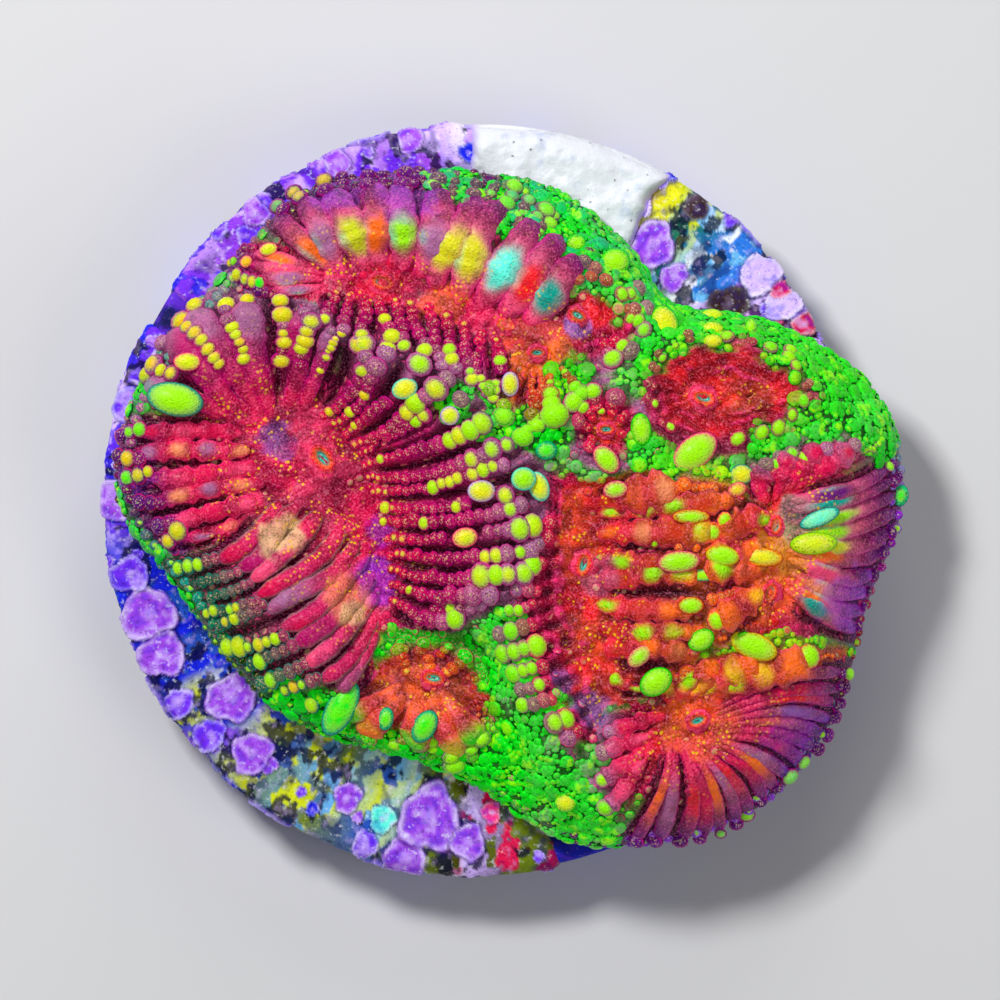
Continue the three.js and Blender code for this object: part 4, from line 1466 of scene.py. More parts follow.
@dataclass
class Septa:
    """The rows of beads on the septa, and the large vesicles among them."""

    form: Form
    chart: Chart
    seed: int = 5
    overlap: float = 0.70
    minor_pitch: float = 2.2
    minor_from: float = 0.45
    minor_odds: float = 0.3
    major_odds: float = 1.25
    chain_odds: float = 9.0
    baskets: dict[Zone, BeadBasket] = field(default_factory=lambda: {zone: BeadBasket() for zone in Zone})
    swollen: BeadBasket = field(default_factory=BeadBasket)

    def __post_init__(self) -> None:
        """Seeds the draws."""
        self.rng = np.random.default_rng(self.seed)

    def _surface(self, at: Array, lift: Array) -> Array:
        """Points of the plan raised to the surface and a lift above it."""
        return np.column_stack([at, self.form.height(at[:, 0], at[:, 1]) + lift])

    def _row(self, fan: Fan, number: float, minor: bool, chain: float = 0.0) -> None:
        """Lays one row of beads.

        Args:
            fan: The fan.
            number: Place of the row across the fan, in septa.
            minor: Whether it is one of the low rows between two septa.
            chain: Where it starts, if it is a chain of ripe beads beside a fold.
        """
        across = np.array([(number + self.rng.uniform(-0.12, 0.12)) / fan.rows])
        (low,), (high,) = fan.lines(across)
        (low_beside,), (high_beside,) = fan.lines(across + 0.5 / fan.rows)
        length = np.linalg.norm(high - low)
        width_share, least, most, stretch = fan.habit.value[:4]
        bend, swing = self.rng.normal(0, 0.28), self.rng.normal(0, 0.14)
        shares, widths = [], []
        share = chain or (self.minor_from if minor else max(fan.beads_from, fan.folds_to))
        while share < 1.0:
            pitch = 2 * np.linalg.norm((low_beside - low) * (1 - share) + (high_beside - high) * share)
            width = float(np.clip(width_share * pitch, least, most)) * self.rng.uniform(0.82, 1.18)
            width *= (0.72 if minor else 1.0) * (0.84 + 0.2 * share)
            width = min(width, 1.3) if chain else width
            shares.append(share)
            widths.append(width)
            share += width * stretch * self.overlap / length
        if not shares:
            return
        share, width = np.array(shares), np.array(widths)
        sway = bend * np.sin(math.pi * share) + swing * np.sin(TURN * share)
        sway = sway + self.rng.normal(0, 0.06, len(share))
        at, ahead = (fan.track(np.full(len(share), across[0]), share + step) for step in (0.0, 0.02))
        run = (ahead - at) / np.linalg.norm(ahead - at, axis=1)[:, None]
        at = at + sway[:, None] * np.column_stack([-run[:, 1], run[:, 0]])
        keep = self._clear(at, width)
        share, width, at, run = share[keep], width[keep], at[keep], run[keep]
        if not len(share):
            return
        lift = fan.relief * envelope(share) * (0.1 if minor else 0.5) - 0.06 * width
        lift = lift + (0.35 if chain else 0.0)
        place = self._surface(at, lift)
        slope = np.arctan2(self._surface(at + 0.15 * run, lift)[:, 2] - place[:, 2], 0.15)
        pitch = -0.6 * np.clip(slope, -0.9, 0.9)
        turn = np.column_stack([np.zeros(len(share)), pitch, np.arctan2(run[:, 1], run[:, 0])])
        size = np.column_stack([width * stretch, width, width * 0.92]) / 2
        odds = self.minor_odds if minor else self.chain_odds if chain else self.major_odds
        self._fill(fan, place, size, turn, share, odds)

    def _fill(
        self, fan: Fan, place: Array, size: Array, turn: Array, share: Array, odds: float
    ) -> None:
        """Colours beads and puts them in their zone's basket.

        Args:
            fan: The fan they belong to.
            place: Their middles.
            size: Their half sizes.
            turn: Their turns.
            share: Shares of the way from foot to crest.
            odds: How much likelier than its fan's septa this row is to be ripe.
        """
        count = len(share)
        halo = fan.tissue.along(share)
        halo = halo * self.rng.uniform(0.75, 1.15, (count, 1))
        rim = blend(halo, fan.tissue.rim, 0.7)
        green = bloom_share(GREEN_BLOOMS, place[:, 0], place[:, 1])
        halo = blend(halo, Hue.OLIVE, 0.45 * green)
        # Painted rim light: teal on the rims of beads in the green stretches.
        rim = blend(rim, Hue.TEAL, 0.6 * green)
        ripe_from = fan.tissue.core_from + self.rng.normal(0, 0.10)
        ripe = self.rng.random() < fan.tissue.core_odds * odds
        chained = odds == self.chain_odds
        lit = (share > ripe_from - 0.2 * chained) & ripe
        lit &= self.rng.random(count) < (0.88 if chained else 0.66)
        lit |= self.rng.random(count) < 0.35 * green + 0.05
        size = size * np.where(lit, self.rng.uniform(0.95, 1.4, count), 1.0)[:, None]
        dots = (share < 0.1) & (self.rng.random(count) < 0.6)
        crown = np.where(lit, self.rng.uniform(0.42, 0.70, count), np.where(dots, 0.25, 0.0))
        gold = self.rng.random(count) * smooth(4, -14, place[:, 0])
        lime = self.rng.random(count) * smooth(-12, -2, place[:, 0])
        core = blend(blend(fan.tissue.core, Hue.GOLD, gold), Hue.LIME, lime)
        core = blend(core, Hue.NEON, green * self.rng.random(count) * 0.6)
        core = blend(core, Hue.GOLD, dots.astype(float))
        self.baskets[fan.zone].add(place, size, turn, rim, halo, with_alpha(core, crown))

    def _clear(self, at: Array, width: Array) -> Array:
        """Which beads of given widths lie clear of every large vesicle."""
        keep = np.ones(len(at), bool)
        for blob in VESICLES:
            turn = math.radians(blob.turn)
            gap = at - (blob.x, blob.y)
            long = gap[:, 0] * math.cos(turn) + gap[:, 1] * math.sin(turn)
            wide = gap[:, 1] * math.cos(turn) - gap[:, 0] * math.sin(turn)
            room = 0.32 * width
            keep &= (long / (0.5 * blob.length + room)) ** 2 + (wide / (0.5 * blob.width + room)) ** 2 > 1
        return keep

    def _vesicles(self) -> None:
        """Sets the large vesicles."""
        for blob in VESICLES:
            at = np.array([[blob.x, blob.y]])
            fan, _, share, _ = self.chart.read(at[:, 0], at[:, 1])
            folded = of_fans("folds_to", fan) > share[0]
            lift = 0.05 * blob.width + 0.5 * of_fans("relief", fan) * envelope(share) + 0.4 * folded
            place = self._surface(at, lift)
            size = np.array([[blob.length, blob.width, 0.8 * blob.width]]) / 2
            turn = np.array([[0.0, 0.0, math.radians(blob.turn)]])
            halo = blend(blob.rim, blob.core, 0.45)
            rim = blend(blob.rim, Hue.MAROON, 0.2)
            self.swollen.add(place, size, turn, rim, halo, with_alpha(hues([blob.core]), 0.72 * blob.share))

    def build(self, tree: Tree, skin: Material, ground: BVHTree) -> list[Object]:
        """Makes the meshes of all rows and vesicles.

        Args:
            tree: The tree that sets a bead on each corner.
            skin: The beads' material.
            ground: The flesh and folds that they sit on.

        Returns:
            One object for each zone, and one for the vesicles.
        """
        for fan in FANS:
            for number in range(fan.rows):
                self._row(fan, number + 0.5, minor=False)
                low, high = fan.lines(np.array([number, number + 1.0]) / fan.rows)
                if np.linalg.norm(high[1] - high[0]) > self.minor_pitch and not fan.chains:
                    self._row(fan, number + 1.0, minor=True)
                if fan.chains:
                    self._row(fan, number + 0.92, minor=False, chain=fan.chains)
        self._vesicles()
        made = []
        for name, basket, fineness in (
            *((zone.value, basket, (10, 6)) for zone, basket in self.baskets.items()),
            ("vesicles", self.swollen, (22, 14)),
        ):
            cloud = basket.points(name + "_cloud", ground)
            values = {"Segments": fineness[0], "Rings": fineness[1], "Material": skin}
            made.append(tree.bake(cloud, name, values))
            bpy.data.objects.remove(cloud)
        return made


@dataclass
class Folds:
    """Swollen folds of flesh that run from a valley up its wall, side by side."""

    form: Form
    spokes: int = 14
    stations: int = 34
    seed: int = 12

    def _fold(self, fan: Fan, number: int, rng: np.random.Generator) -> tuple[Array, Array, Array]:
        """Sweeps one fold.

        Args:
            fan: The fan that it belongs to.
            number: Its place across the fan.
            rng: The source of chance.

        Returns:
            Its corners with a pole at each end, their colours, and how thickly flecks lie.
        """
        step = np.linspace(0.004, 0.996, self.stations)
        share = -0.12 + step * (fan.folds_to + 0.12)
        bend, swing, phase = rng.normal(0, 0.16), rng.normal(0, 0.10), rng.uniform(0, TURN)
        across = (number + 0.5 + bend * np.sin(math.pi * step) + swing * np.sin(TURN * step)) / fan.rows
        middle = fan.track(across, share)
        gap = fan.track(across + 0.5 / fan.rows, share) - middle
        run = np.cumsum(np.r_[0, np.linalg.norm(np.diff(middle, axis=0), axis=1)])
        fill, lumpy = fan.habit.value[4:]
        lumps = np.sin(run * TURN / 1.45 + phase) + 0.6 * np.sin(run * TURN / 0.85 + 2 * phase)
        bulb = 0.5 * np.exp(-((share - fan.crown_at) / 0.2) ** 2) * (fan.crown_at < 0.4)
        wide = np.clip(2 * fill * np.linalg.norm(gap, axis=1), 0.5, 2.8) * (1 + 0.5 * lumpy * lumps + bulb)
        taper = np.sqrt(1 - np.abs(2 * step - 1) ** 5)
        half = 0.5 * wide * taper
        ahead = np.gradient(middle, axis=0)
        ahead = ahead / np.linalg.norm(ahead, axis=1)[:, None]
        angle = np.arange(self.spokes) / self.spokes * TURN
        sine = np.sin(angle)
        side = half[:, None] * np.cos(angle)
        tall = np.minimum(0.90 * half, 0.95 + bulb) * (1 + 0.35 * lumpy * lumps)
        x = middle[:, :1] - ahead[:, 1:] * side
        y = middle[:, 1:] + ahead[:, :1] * side
        ground = self.form.height(middle[:, 0], middle[:, 1]) + fan.relief * (0.25 * envelope(share) - 0.05)
        z = ground[:, None] + tall[:, None] * sine
        z = z + 0.24 * taper[:, None] * (LUMPS.rough(x, y, 0.7) - 0.5) * (sine > 0)
        ends = np.column_stack([middle, ground])[[0, -1]]
        corners = np.vstack([ends[:1], np.stack([x, y, z], -1).reshape(-1, 3), ends[1:]])
        tint = np.repeat(fan.tissue.along(share)[:, None], self.spokes, 1)
        # Painted highlight: rose on the top of each fold.
        tint = blend(tint, Hue.ROSE, 0.28 * smooth(0.75, 1.0, sine) * smooth(0.9, 0.3, share)[:, None])
        top = smooth(0.10, 0.75, sine)
        patchy = 0.45 + 0.55 * smooth(0.30, 0.50, LUMPS.rough(x + 3, y, 1.5))
        if lumpy > 0.2:
            beat = run / 2.1 + phase / TURN
            pick = (number + 2 * np.floor(beat).astype(int)) % len(fan.crowns)
            reach = np.hypot((beat % 1 - 0.5)[:, None] / 0.42, np.cos(angle) / 0.95)
            crown = smooth(1.05, 0.35, reach + 0.5 * (LUMPS.rough(x, y, 0.7) - 0.5)) * patchy * (sine > 0)
        else:
            pick = np.full(len(share), number % len(fan.crowns))
            peak = fan.crown_at * rng.uniform(0.9, 1.15)
            crown = np.exp(-((share - peak) / 0.22) ** 2)[:, None] * top
            crown = crown * np.maximum(patchy, bulb.max() * 1.9)
            if bulb.max() > 0.1:
                halo = np.exp(-((share - peak) / 0.30) ** 4)[:, None] * smooth(-0.1, 0.5, sine)
                tint = blend(tint, Hue.BLUSH, 0.38 * halo)
                reach = np.hypot((share - peak)[:, None] / 0.26, np.cos(angle) / 0.90)
                crown = smooth(1.1, 0.45, reach + 0.4 * (LUMPS.rough(x, y, 0.8) - 0.5)) * (sine > 0)
        crown = np.clip(crown, 0, 1)
        tint = blend(tint, hues(fan.crowns)[pick][:, None], crown)
        glint = crown * smooth(0.25, 0.8, np.cos(angle)) * (2 * bulb[:, None])
        tint = blend(tint, Hue.CYAN, 0.75 * np.clip(glint, 0, 1))
        # Painted sheen: a band in the tissue's rim hue along each fold's visible edge.
        edge_sheen = np.exp(-((sine - 0.42) / 0.16) ** 2) * (1 - 0.8 * np.clip(crown, 0, 1))
        tint = blend(tint, fan.tissue.rim, 0.45 * edge_sheen)
        # Painted shade: maroon on the fold's lower sides, between the folds.
        tint = blend(tint, Hue.MAROON, 0.9 * smooth(0.34, 0.02, sine))
        tint = tint.reshape(-1, 3)
        for spot in STAINS_AND_EDGE_SHADE:
            tint = blend(tint, spot.hue, 0.8 * bloom_share([spot], x.ravel(), y.ravel()))
        tint = with_alpha(np.vstack([tint[:1], tint, tint[-1:]]), np.r_[1, 1 - 0.7 * crown.ravel(), 1])
        fleck = np.repeat(0.15 + 0.85 * (1 - smooth(0.1, 0.6, share)), self.spokes)
        return corners, tint, np.r_[fleck[0], fleck, fleck[-1]]

    def build(self, skin: Material) -> Object:
        """Makes all folds as one mesh."""
        rng = np.random.default_rng(self.seed)
        points, tints, flecks, faces = [], [], [], []
        start = 0
        for fan in FANS:
            for number in range(fan.rows if fan.folds_to else 0):
                corners, tint, fleck = self._fold(fan, number, rng)
                faces += [group[:, ::-1] for group in barrel_faces(self.spokes, self.stations, start)]
                points.append(corners)
                tints.append(tint)
                flecks.append(fleck)
                start += len(corners)
        values = {"tint": np.vstack(tints), "fleck": np.concatenate(flecks)}
        return plain_mesh("folds", np.vstack(points), faces, values, skin)


@dataclass
class Margin:
    """Rows of beads that run over the colony's rim and down its flank."""

    form: Form
    rows: int = 190
    down: int = 6
    width: float = 0.95
    foot_share: float = 0.9
    foot_limit: float = 24.2
    seed: int = 8
    hues_round: tuple[Hue, ...] = (
        Hue.PURPLE, Hue.NEON, Hue.NEON, Hue.NEON, Hue.NEON, Hue.NEON, Hue.PLUM, Hue.PLUM,
        Hue.PLUM, Hue.MAUVE, Hue.TEAL, Hue.MAUVE, Hue.PLUM, Hue.TEAL, Hue.FOREST, Hue.FOREST,
        Hue.NEON, Hue.NEON, Hue.NEON, Hue.PLUM, Hue.PURPLE, Hue.PURPLE, Hue.PLUM, Hue.MAGENTA,
    )

    def build(self, tree: Tree, skin: Material, ground: BVHTree) -> Object:
        """Makes the rows as one mesh.

        Args:
            tree: The tree that sets a bead on each corner.
            skin: The beads' material.
            ground: The flesh and folds that they sit on.

        Returns:
            The rows.
        """
        rng = np.random.default_rng(self.seed)
        basket = BeadBasket()
        shades = hues(self.hues_round)
        for number in range(self.rows):
            angle = (number + rng.uniform(-0.2, 0.2)) / self.rows * TURN
            step = np.arange(self.down) / (self.down - 1)
            rim = float(self.form.rim_radius(np.array(angle)))
            edge = float(self.form.rim_height(np.array(angle)))
            foot = min(self.foot_share * rim, self.foot_limit)
            over = smooth(0.25, 1.0, step)
            reach = rim - 0.75 * (1 - smooth(0.0, 0.3, step)) + (foot - rim) * over
            reach = reach + rng.normal(0, 0.05, self.down)
            z = edge * (1 - step ** 1.2) + 0.75 * (1 - smooth(0.0, 0.4, step)) + 0.25
            place = np.column_stack([
                reach * math.cos(angle), reach * math.sin(angle), self.form.disc_top + z])
            width = self.width * (1 - 0.35 * step) * rng.uniform(0.8, 1.15, self.down)
            size = np.column_stack([width * 0.9, width * 0.8, width * 0.8]) / 2
            turn = np.column_stack([np.zeros(self.down), 0.9 * step, np.full(self.down, angle)])
            # Painted shade: each row darkens as it runs down under the rim; the teal rims are painted rim
            # light.
            halo = np.clip(around(shades, np.full(self.down, angle)), 0, 1) * (1 - 0.55 * step[:, None])
            rims = blend(halo, Hue.TEAL, 0.75)
            core = with_alpha(hues([Hue.LIME] * self.down), rng.random(self.down) ** 4 * 0.5)
            basket.add(place, size, turn, rims, halo, core)
        cloud = basket.points("margin_cloud", ground)
        made = tree.bake(cloud, "margin_beads", {"Segments": 8, "Rings": 6, "Material": skin})
        bpy.data.objects.remove(cloud)
        return made


@dataclass
class Mouths:
    """The polyps' mouths: a pale slit in a raised, ringed lip."""

    form: Form
    spokes: int = 32
    rings: int = 12
    lip: float = 1.05
    root: float = 0.8
    places: tuple[tuple[float, float, float, float], ...] = (
        (-6.5, 14.5, -15, 1.0), (-10.5, 2.8, -52, 1.25), (6.9, -4.3, 75, 1.0), (14.5, -14.7, 20, 0.9),
        (19.3, -6.2, 70, 0.9), (19.7, -1.7, 80, 0.8), (-3.1, -11.9, -10, 1.0), (1.7, 11.7, -20, 0.8),
        (6.5, 12.3, -30, 0.8), (14.9, 6.8, -15, 1.0), (3.8, 9.8, 0, 0.7), (8.4, 4.7, 0, 0.7),
    )
    # Colours from the middle outwards; the navy at the very middle is painted shade at the bottom of the
    # mouth's pit.
    bands: tuple[tuple[float, Hue], ...] = (
        (0.0, Hue.NAVY), (0.08, Hue.TEAL), (0.17, Hue.CYAN), (0.25, Hue.TEAL), (0.38, Hue.ORANGE),
        (0.55, Hue.SCARLET), (0.78, Hue.ROSE), (1.0, Hue.CRIMSON),
    )

    def build(self, skin: Material) -> Object:
        """Makes all mouths as one mesh."""
        share = (np.arange(self.rings) + 1) / self.rings
        angle = np.arange(self.spokes) / self.spokes * TURN
        profile = 0.34 * np.exp(-((share - 0.52) / 0.2) ** 2) - 0.30 * smooth(0.8, 1.0, share)
        profile = profile - 0.28 * (1 - smooth(0.0, 0.42, share))
        points, faces = [], []
        start = 0
        for x, y, turn, scale in self.places:
            yaw = math.radians(turn)
            slit = 1 + 0.55 * (1 - share)
            long, wide = np.outer(share * slit, np.cos(angle)), np.outer(share / slit ** 1.2, np.sin(angle))
            size = self.lip * scale
            crinkle = 1 + 0.05 * np.outer(share, np.sin(7 * angle + x))
            px = x + size * crinkle * (long * math.cos(yaw) - wide * math.sin(yaw))
            py = y + size * crinkle * (long * math.sin(yaw) + wide * math.cos(yaw))
            base = self.form.height(px.ravel(), py.ravel()).reshape(px.shape) + 0.10
            pz = base + scale * profile[:, None] * (1 + 0.2 * np.outer(share, np.sin(9 * angle + y)))
            floor = self.form.height(np.array([x]), np.array([y]))[0] - 0.2 * scale
            corners = np.stack([px, py, pz], -1).reshape(-1, 3)
            points.append(np.vstack([[x, y, floor], corners, [x, y, floor - self.root]]))
            faces += barrel_faces(self.spokes, self.rings, start)
            start += len(points[-1])
        place = np.concatenate([[0], np.repeat(share, self.spokes), [1]])
        tint = np.tile(ramp(place, *zip(*self.bands)), (len(self.places), 1))
        values = {"tint": with_alpha(tint), "fleck": np.full(len(tint), 0.4)}
        return plain_mesh("mouths", np.vstack(points), faces, values, skin)


# ---- the disc and what lies on it ---------------------------------------------------------------
@dataclass
class FragDisc:
    """The round ceramic disc: flat underside, softened edges, rough faces."""

    radius: float
    thickness: float
    edge: float = 0.7
    spokes: int = 300

    def build(self, finish: Material) -> Object:
        """Makes the disc."""
        quarter = np.linspace(0, math.pi / 2, 6)
        inner = self.radius - self.edge
        top = [(reach, self.thickness) for reach in np.linspace(1.0, inner, 36)]
        shoulder = [(inner + self.edge * math.sin(a), self.thickness - self.edge * (1 - math.cos(a)))
                    for a in quarter[1:]]
        side = [(self.radius, z) for z in np.linspace(self.thickness - self.edge, self.edge, 14)[1:]]
        hem = [(inner + self.edge * math.cos(a), self.edge * (1 - math.sin(a))) for a in quarter[1:]]
        profile = np.array(top + shoulder + side + hem + [(inner * 0.5, 0.0)])
        angle = np.arange(self.spokes) / self.spokes * TURN
        reach = profile[:, :1] * np.ones_like(angle)
        z = profile[:, 1:] * np.ones_like(angle)
        walk = np.cumsum(np.r_[0, np.linalg.norm(np.diff(profile, axis=0), axis=1)])[:, None]
        rough = LUMPS.rough(angle[None] * self.radius, walk + 0 * reach, 1.1) - 0.5
        standing = smooth(0.05, 0.5, z)
        reach = reach + 0.10 * rough * standing * (profile[:, :1] > inner)
        z = z + 0.10 * rough * (profile[:, 1:] > self.thickness - 0.3)
        corners = np.stack([reach * np.cos(angle), reach * np.sin(angle), z], -1).reshape(-1, 3)
        points = np.vstack([[0, 0, self.thickness], corners, [0, 0, 0]])
        return plain_mesh("disc_body", points, barrel_faces(self.spokes, len(profile)), None, finish)


def rim_strip(
    form: Form, span: tuple[float, float], tuck: float, outer: float, step: float, spare: float = 0.0
) -> tuple[Array, Array, Array]:
    """Lays a grid over a bare stretch of the disc.

    Args:
        form: The colony's form, whose outline is the inner side.
        span: First and last bearing, in degrees.
        tuck: How far the grid runs in under the colony.
        outer: How far it runs out past the disc's edge.
        step: Width of a cell.
        spare: Width that is added when the cells are counted.

    Returns:
        Bearings, distances in from the disc's edge, and distances from the nearer end.
    """
    start, end = (math.radians(side) for side in span)
    bearing = np.linspace(start, end, int((end - start) * DISC_RADIUS / step))
    inner = DISC_RADIUS - form.rim_radius(bearing) + tuck
    share = np.linspace(0, 1, int((inner.max() + outer + spare) / step))
    walk = inner[:, None] + share[None] * (-outer - inner)[:, None]
    angles = bearing[:, None] + 0 * walk
    return angles, walk, np.minimum(angles - start, end - angles) * DISC_RADIUS


@dataclass(frozen=True)
class Plate:
    """A round plate of coralline: its bearing in degrees, its distance in from the disc's edge,
    which is negative down the side, its radius and its colour."""

    bearing: float
    inset: float
    radius: float
    hue: Hue = Hue.VIOLET


@dataclass
class Crust:
    """Growth over a bare stretch of the disc, from under the colony's rim down over the edge."""

    name: str
    form: Form
    start: float
    end: float
    plates: tuple[Plate, ...]
    ground: tuple[tuple[float, Hue, Hue, Hue], ...]
    thickness: float = 0.22
    lumpiness: float = 0.5
    step: float = 0.14
    down: float = 3.2
    bend: float = 0.7
    small_plates: int = 30
    tuck: float = 1.2
    root: float = 0.3
    seed: int = 3

    def _path(self, walk: Array) -> tuple[Array, Array, Array, Array]:
        """Follows the disc's section.

        Args:
            walk: Distance in from the disc's edge, measured over the surface.

        Returns:
            Radius, height, and the two parts of the outward direction.
        """
        arc = self.bend * math.pi / 2
        turn = np.clip((self.bend - walk) / arc, 0, 1) * math.pi / 2
        flat = np.maximum(walk - self.bend, 0)
        drop = np.maximum(self.bend - arc - walk, 0)
        radius = DISC_RADIUS - self.bend + self.bend * np.sin(turn) - flat
        height = self.form.disc_top - self.bend + self.bend * np.cos(turn) - drop
        return radius, height, np.sin(turn), np.cos(turn)

    def _all_plates(self) -> list[Plate]:
        """The chosen plates over a scatter of small ones."""
        rng = np.random.default_rng(self.seed)
        colours = (Hue.VIOLET, Hue.PURPLE, Hue.VIOLET, Hue.BLUE)
        small = [
            Plate(rng.uniform(self.start, self.end), rng.uniform(-self.down, 2.4), rng.uniform(0.3, 0.8),
                  colours[rng.integers(len(colours))])
            for _ in range(self.small_plates)
        ]
        return sorted(small, key=lambda plate: plate.radius) + list(self.plates)

    def _surface(self, bearing: Array, walk: Array) -> tuple[Array, Array]:
        """Height and colour of the crust.

        Args:
            bearing: Angles round the disc.
            walk: Distances in from the disc's edge.

        Returns:
            Heights above the disc, and colours.
        """
        run = bearing * DISC_RADIUS
        rough = LUMPS.rough(run + 31, walk + 17, 1.5)
        fine = LUMPS.rough(run, walk, 0.5)
        height = self.thickness + self.lumpiness * np.maximum(0, rough - 0.35) + 0.22 * (fine - 0.5)
        stops = np.radians([row[0] for row in self.ground])
        jitter = bearing + 0.12 * (LUMPS.rough(run, walk, 2.4) - 0.5)
        layers = [ramp(jitter, stops, [row[depth] for row in self.ground]) for depth in (1, 2, 3)]
        colour = blend(layers[0], layers[1], smooth(0.48, 0.52, LUMPS.rough(run + 13, walk + 7, 1.3)))
        colour = blend(colour, layers[2], smooth(0.53, 0.57, LUMPS.rough(run + 29, walk + 3, 1.2)))
        # Painted shade: near-black spots stand in for the shade inside small pits, which the mesh does not
        # have.
        pit_shade = smooth(0.39, 0.35, LUMPS.rough(run + 5, walk + 11, 1.1))
        colour = blend(colour, 0.2 * Hue.NAVY.rgb, 0.9 * pit_shade)
        # Painted shade: navy in the crust's low places.
        colour = blend(colour, Hue.NAVY, 0.6 * smooth(0.40, 0.28, rough))
        colour = blend(colour, Hue.LILAC, 0.25 * smooth(0.62, 0.8, fine))
        for number, plate in enumerate(self._all_plates()):
            middle = math.radians(plate.bearing) * DISC_RADIUS
            dx, dy = run - middle, walk - plate.inset
            near = np.hypot(dx, dy) < plate.radius * 1.3
            angle = np.arctan2(dy[near], dx[near])
            wobble = 1 + 0.09 * np.sin(3 * angle + number) + 0.05 * np.sin(5 * angle + 2 * number)
            wobble = wobble + 0.03 * np.sin(8 * angle + 3 * number)
            reach = np.hypot(dx[near], dy[near]) / (plate.radius * wobble)
            inside = smooth(1.0, 0.93, reach)
            lip = np.exp(-((reach - 0.88) / 0.10) ** 2) * (0.4 + 0.6 * smooth(0.3, 0.6, fine[near]))
            pale = max(plate.hue.value)
            dish = 0.12 + 0.10 * min(plate.radius, 1.5) + 0.16 * lip + 0.05 * np.sin(reach * 14)
            dish = pale * dish + 0.35 * np.maximum(0, rough[near] - 0.5) + 0.06 * (fine[near] - 0.5)
            height[near] = height[near] * (1 - inside) + (self.thickness + dish) * inside
            skin = blend(plate.hue, Hue.LILAC, 0.55 * pale * smooth(0.48, 0.75, fine[near]))
            skin = blend(skin, Hue.BLUE, 0.4 * pale * smooth(0.48, 0.30, fine[near]))
            skin = blend(skin, Hue.WHITE, 0.42 * pale * lip * smooth(1.02, 0.9, reach))
            skin = blend(skin, Hue.LILAC, 0.45 * pale * smooth(0.35, 0.1, reach))
            colour[near] = blend(colour[near], skin, inside)
            shadow = smooth(1.14, 1.0, reach) * (1 - inside)
            colour[near] = blend(colour[near], Hue.NAVY, 0.55 * shadow)
        return height, colour

    def build(self, finish: Material) -> Object:
        """Makes the crust."""
        span = self.start, self.end
        angles, walk, ends = rim_strip(self.form, span, self.tuck, self.down, self.step)
        height, colour = self._surface(angles.ravel(), walk.ravel())
        height = height.reshape(walk.shape)
        ragged = LUMPS.rough(angles * DISC_RADIUS, walk, 1.0) * 1.2
        fade = smooth(0.0, 0.7, ends - ragged) * smooth(0.0, 1.3, walk + self.down - 1.6 * ragged)
        height = (height + 0.12) * fade - 0.12
        reach, z, out, up = self._path(walk)
        layers = []
        for lift in (height, np.full(height.shape, -self.root)):
            r, h = reach + lift * out, z + lift * up
            layers.append(np.stack([r * np.cos(angles), r * np.sin(angles), h], -1))
        points, faces = closed_slab(*layers)
        tint = with_alpha(np.vstack([colour, colour]))
        return plain_mesh(self.name, points, faces, {"tint": tint}, finish)


@dataclass
class GluePad:
    """The pad of white reef glue behind the colony, smoothed on by hand."""

    form: Form
    start: float = 58.5
    end: float = 92.5
    mean: float = 1.35
    step: float = 0.14
    tuck: float = 0.6
    outer: float = 0.25
    spare: float = 0.15
    root: float = 0.25

    def build(self, finish: Material) -> Object:
        """Makes the pad."""
        span = self.start, self.end
        angles, walk, ends = rim_strip(self.form, span, self.tuck, self.outer, self.step, self.spare)
        run = angles * DISC_RADIUS
        ends = ends - 1.2 * LUMPS.rough(run, walk, 1.7)
        sides = np.minimum(ends, walk + self.outer - 0.3 * LUMPS.rough(run, 0 * walk, 1.7))
        body = np.sqrt(np.clip(1 - (1 - np.clip(sides / 1.1, 0, 1)) ** 2, 0, 1))
        lumps = 0.9 * (LUMPS.rough(run + 5, walk + 9, 2.6) - 0.5) + 0.12 * (LUMPS.rough(run, walk, 0.6) - 0.5)
        height = body * (self.mean + lumps) - 0.12
        reach = DISC_RADIUS - walk
        layers = [
            np.stack([reach * np.cos(angles), reach * np.sin(angles), self.form.disc_top + lift], -1)
            for lift in (height, np.full(height.shape, -self.root))
        ]
        points, faces = closed_slab(*layers)
        edge = smooth(0.55, 0.0, ends).ravel()
        colour = blend(Hue.WHITE, Hue.LILAC, 0.8 * edge)
        tint = with_alpha(np.vstack([colour, colour]))
        return plain_mesh("glue_body", points, faces, {"tint": tint}, finish)


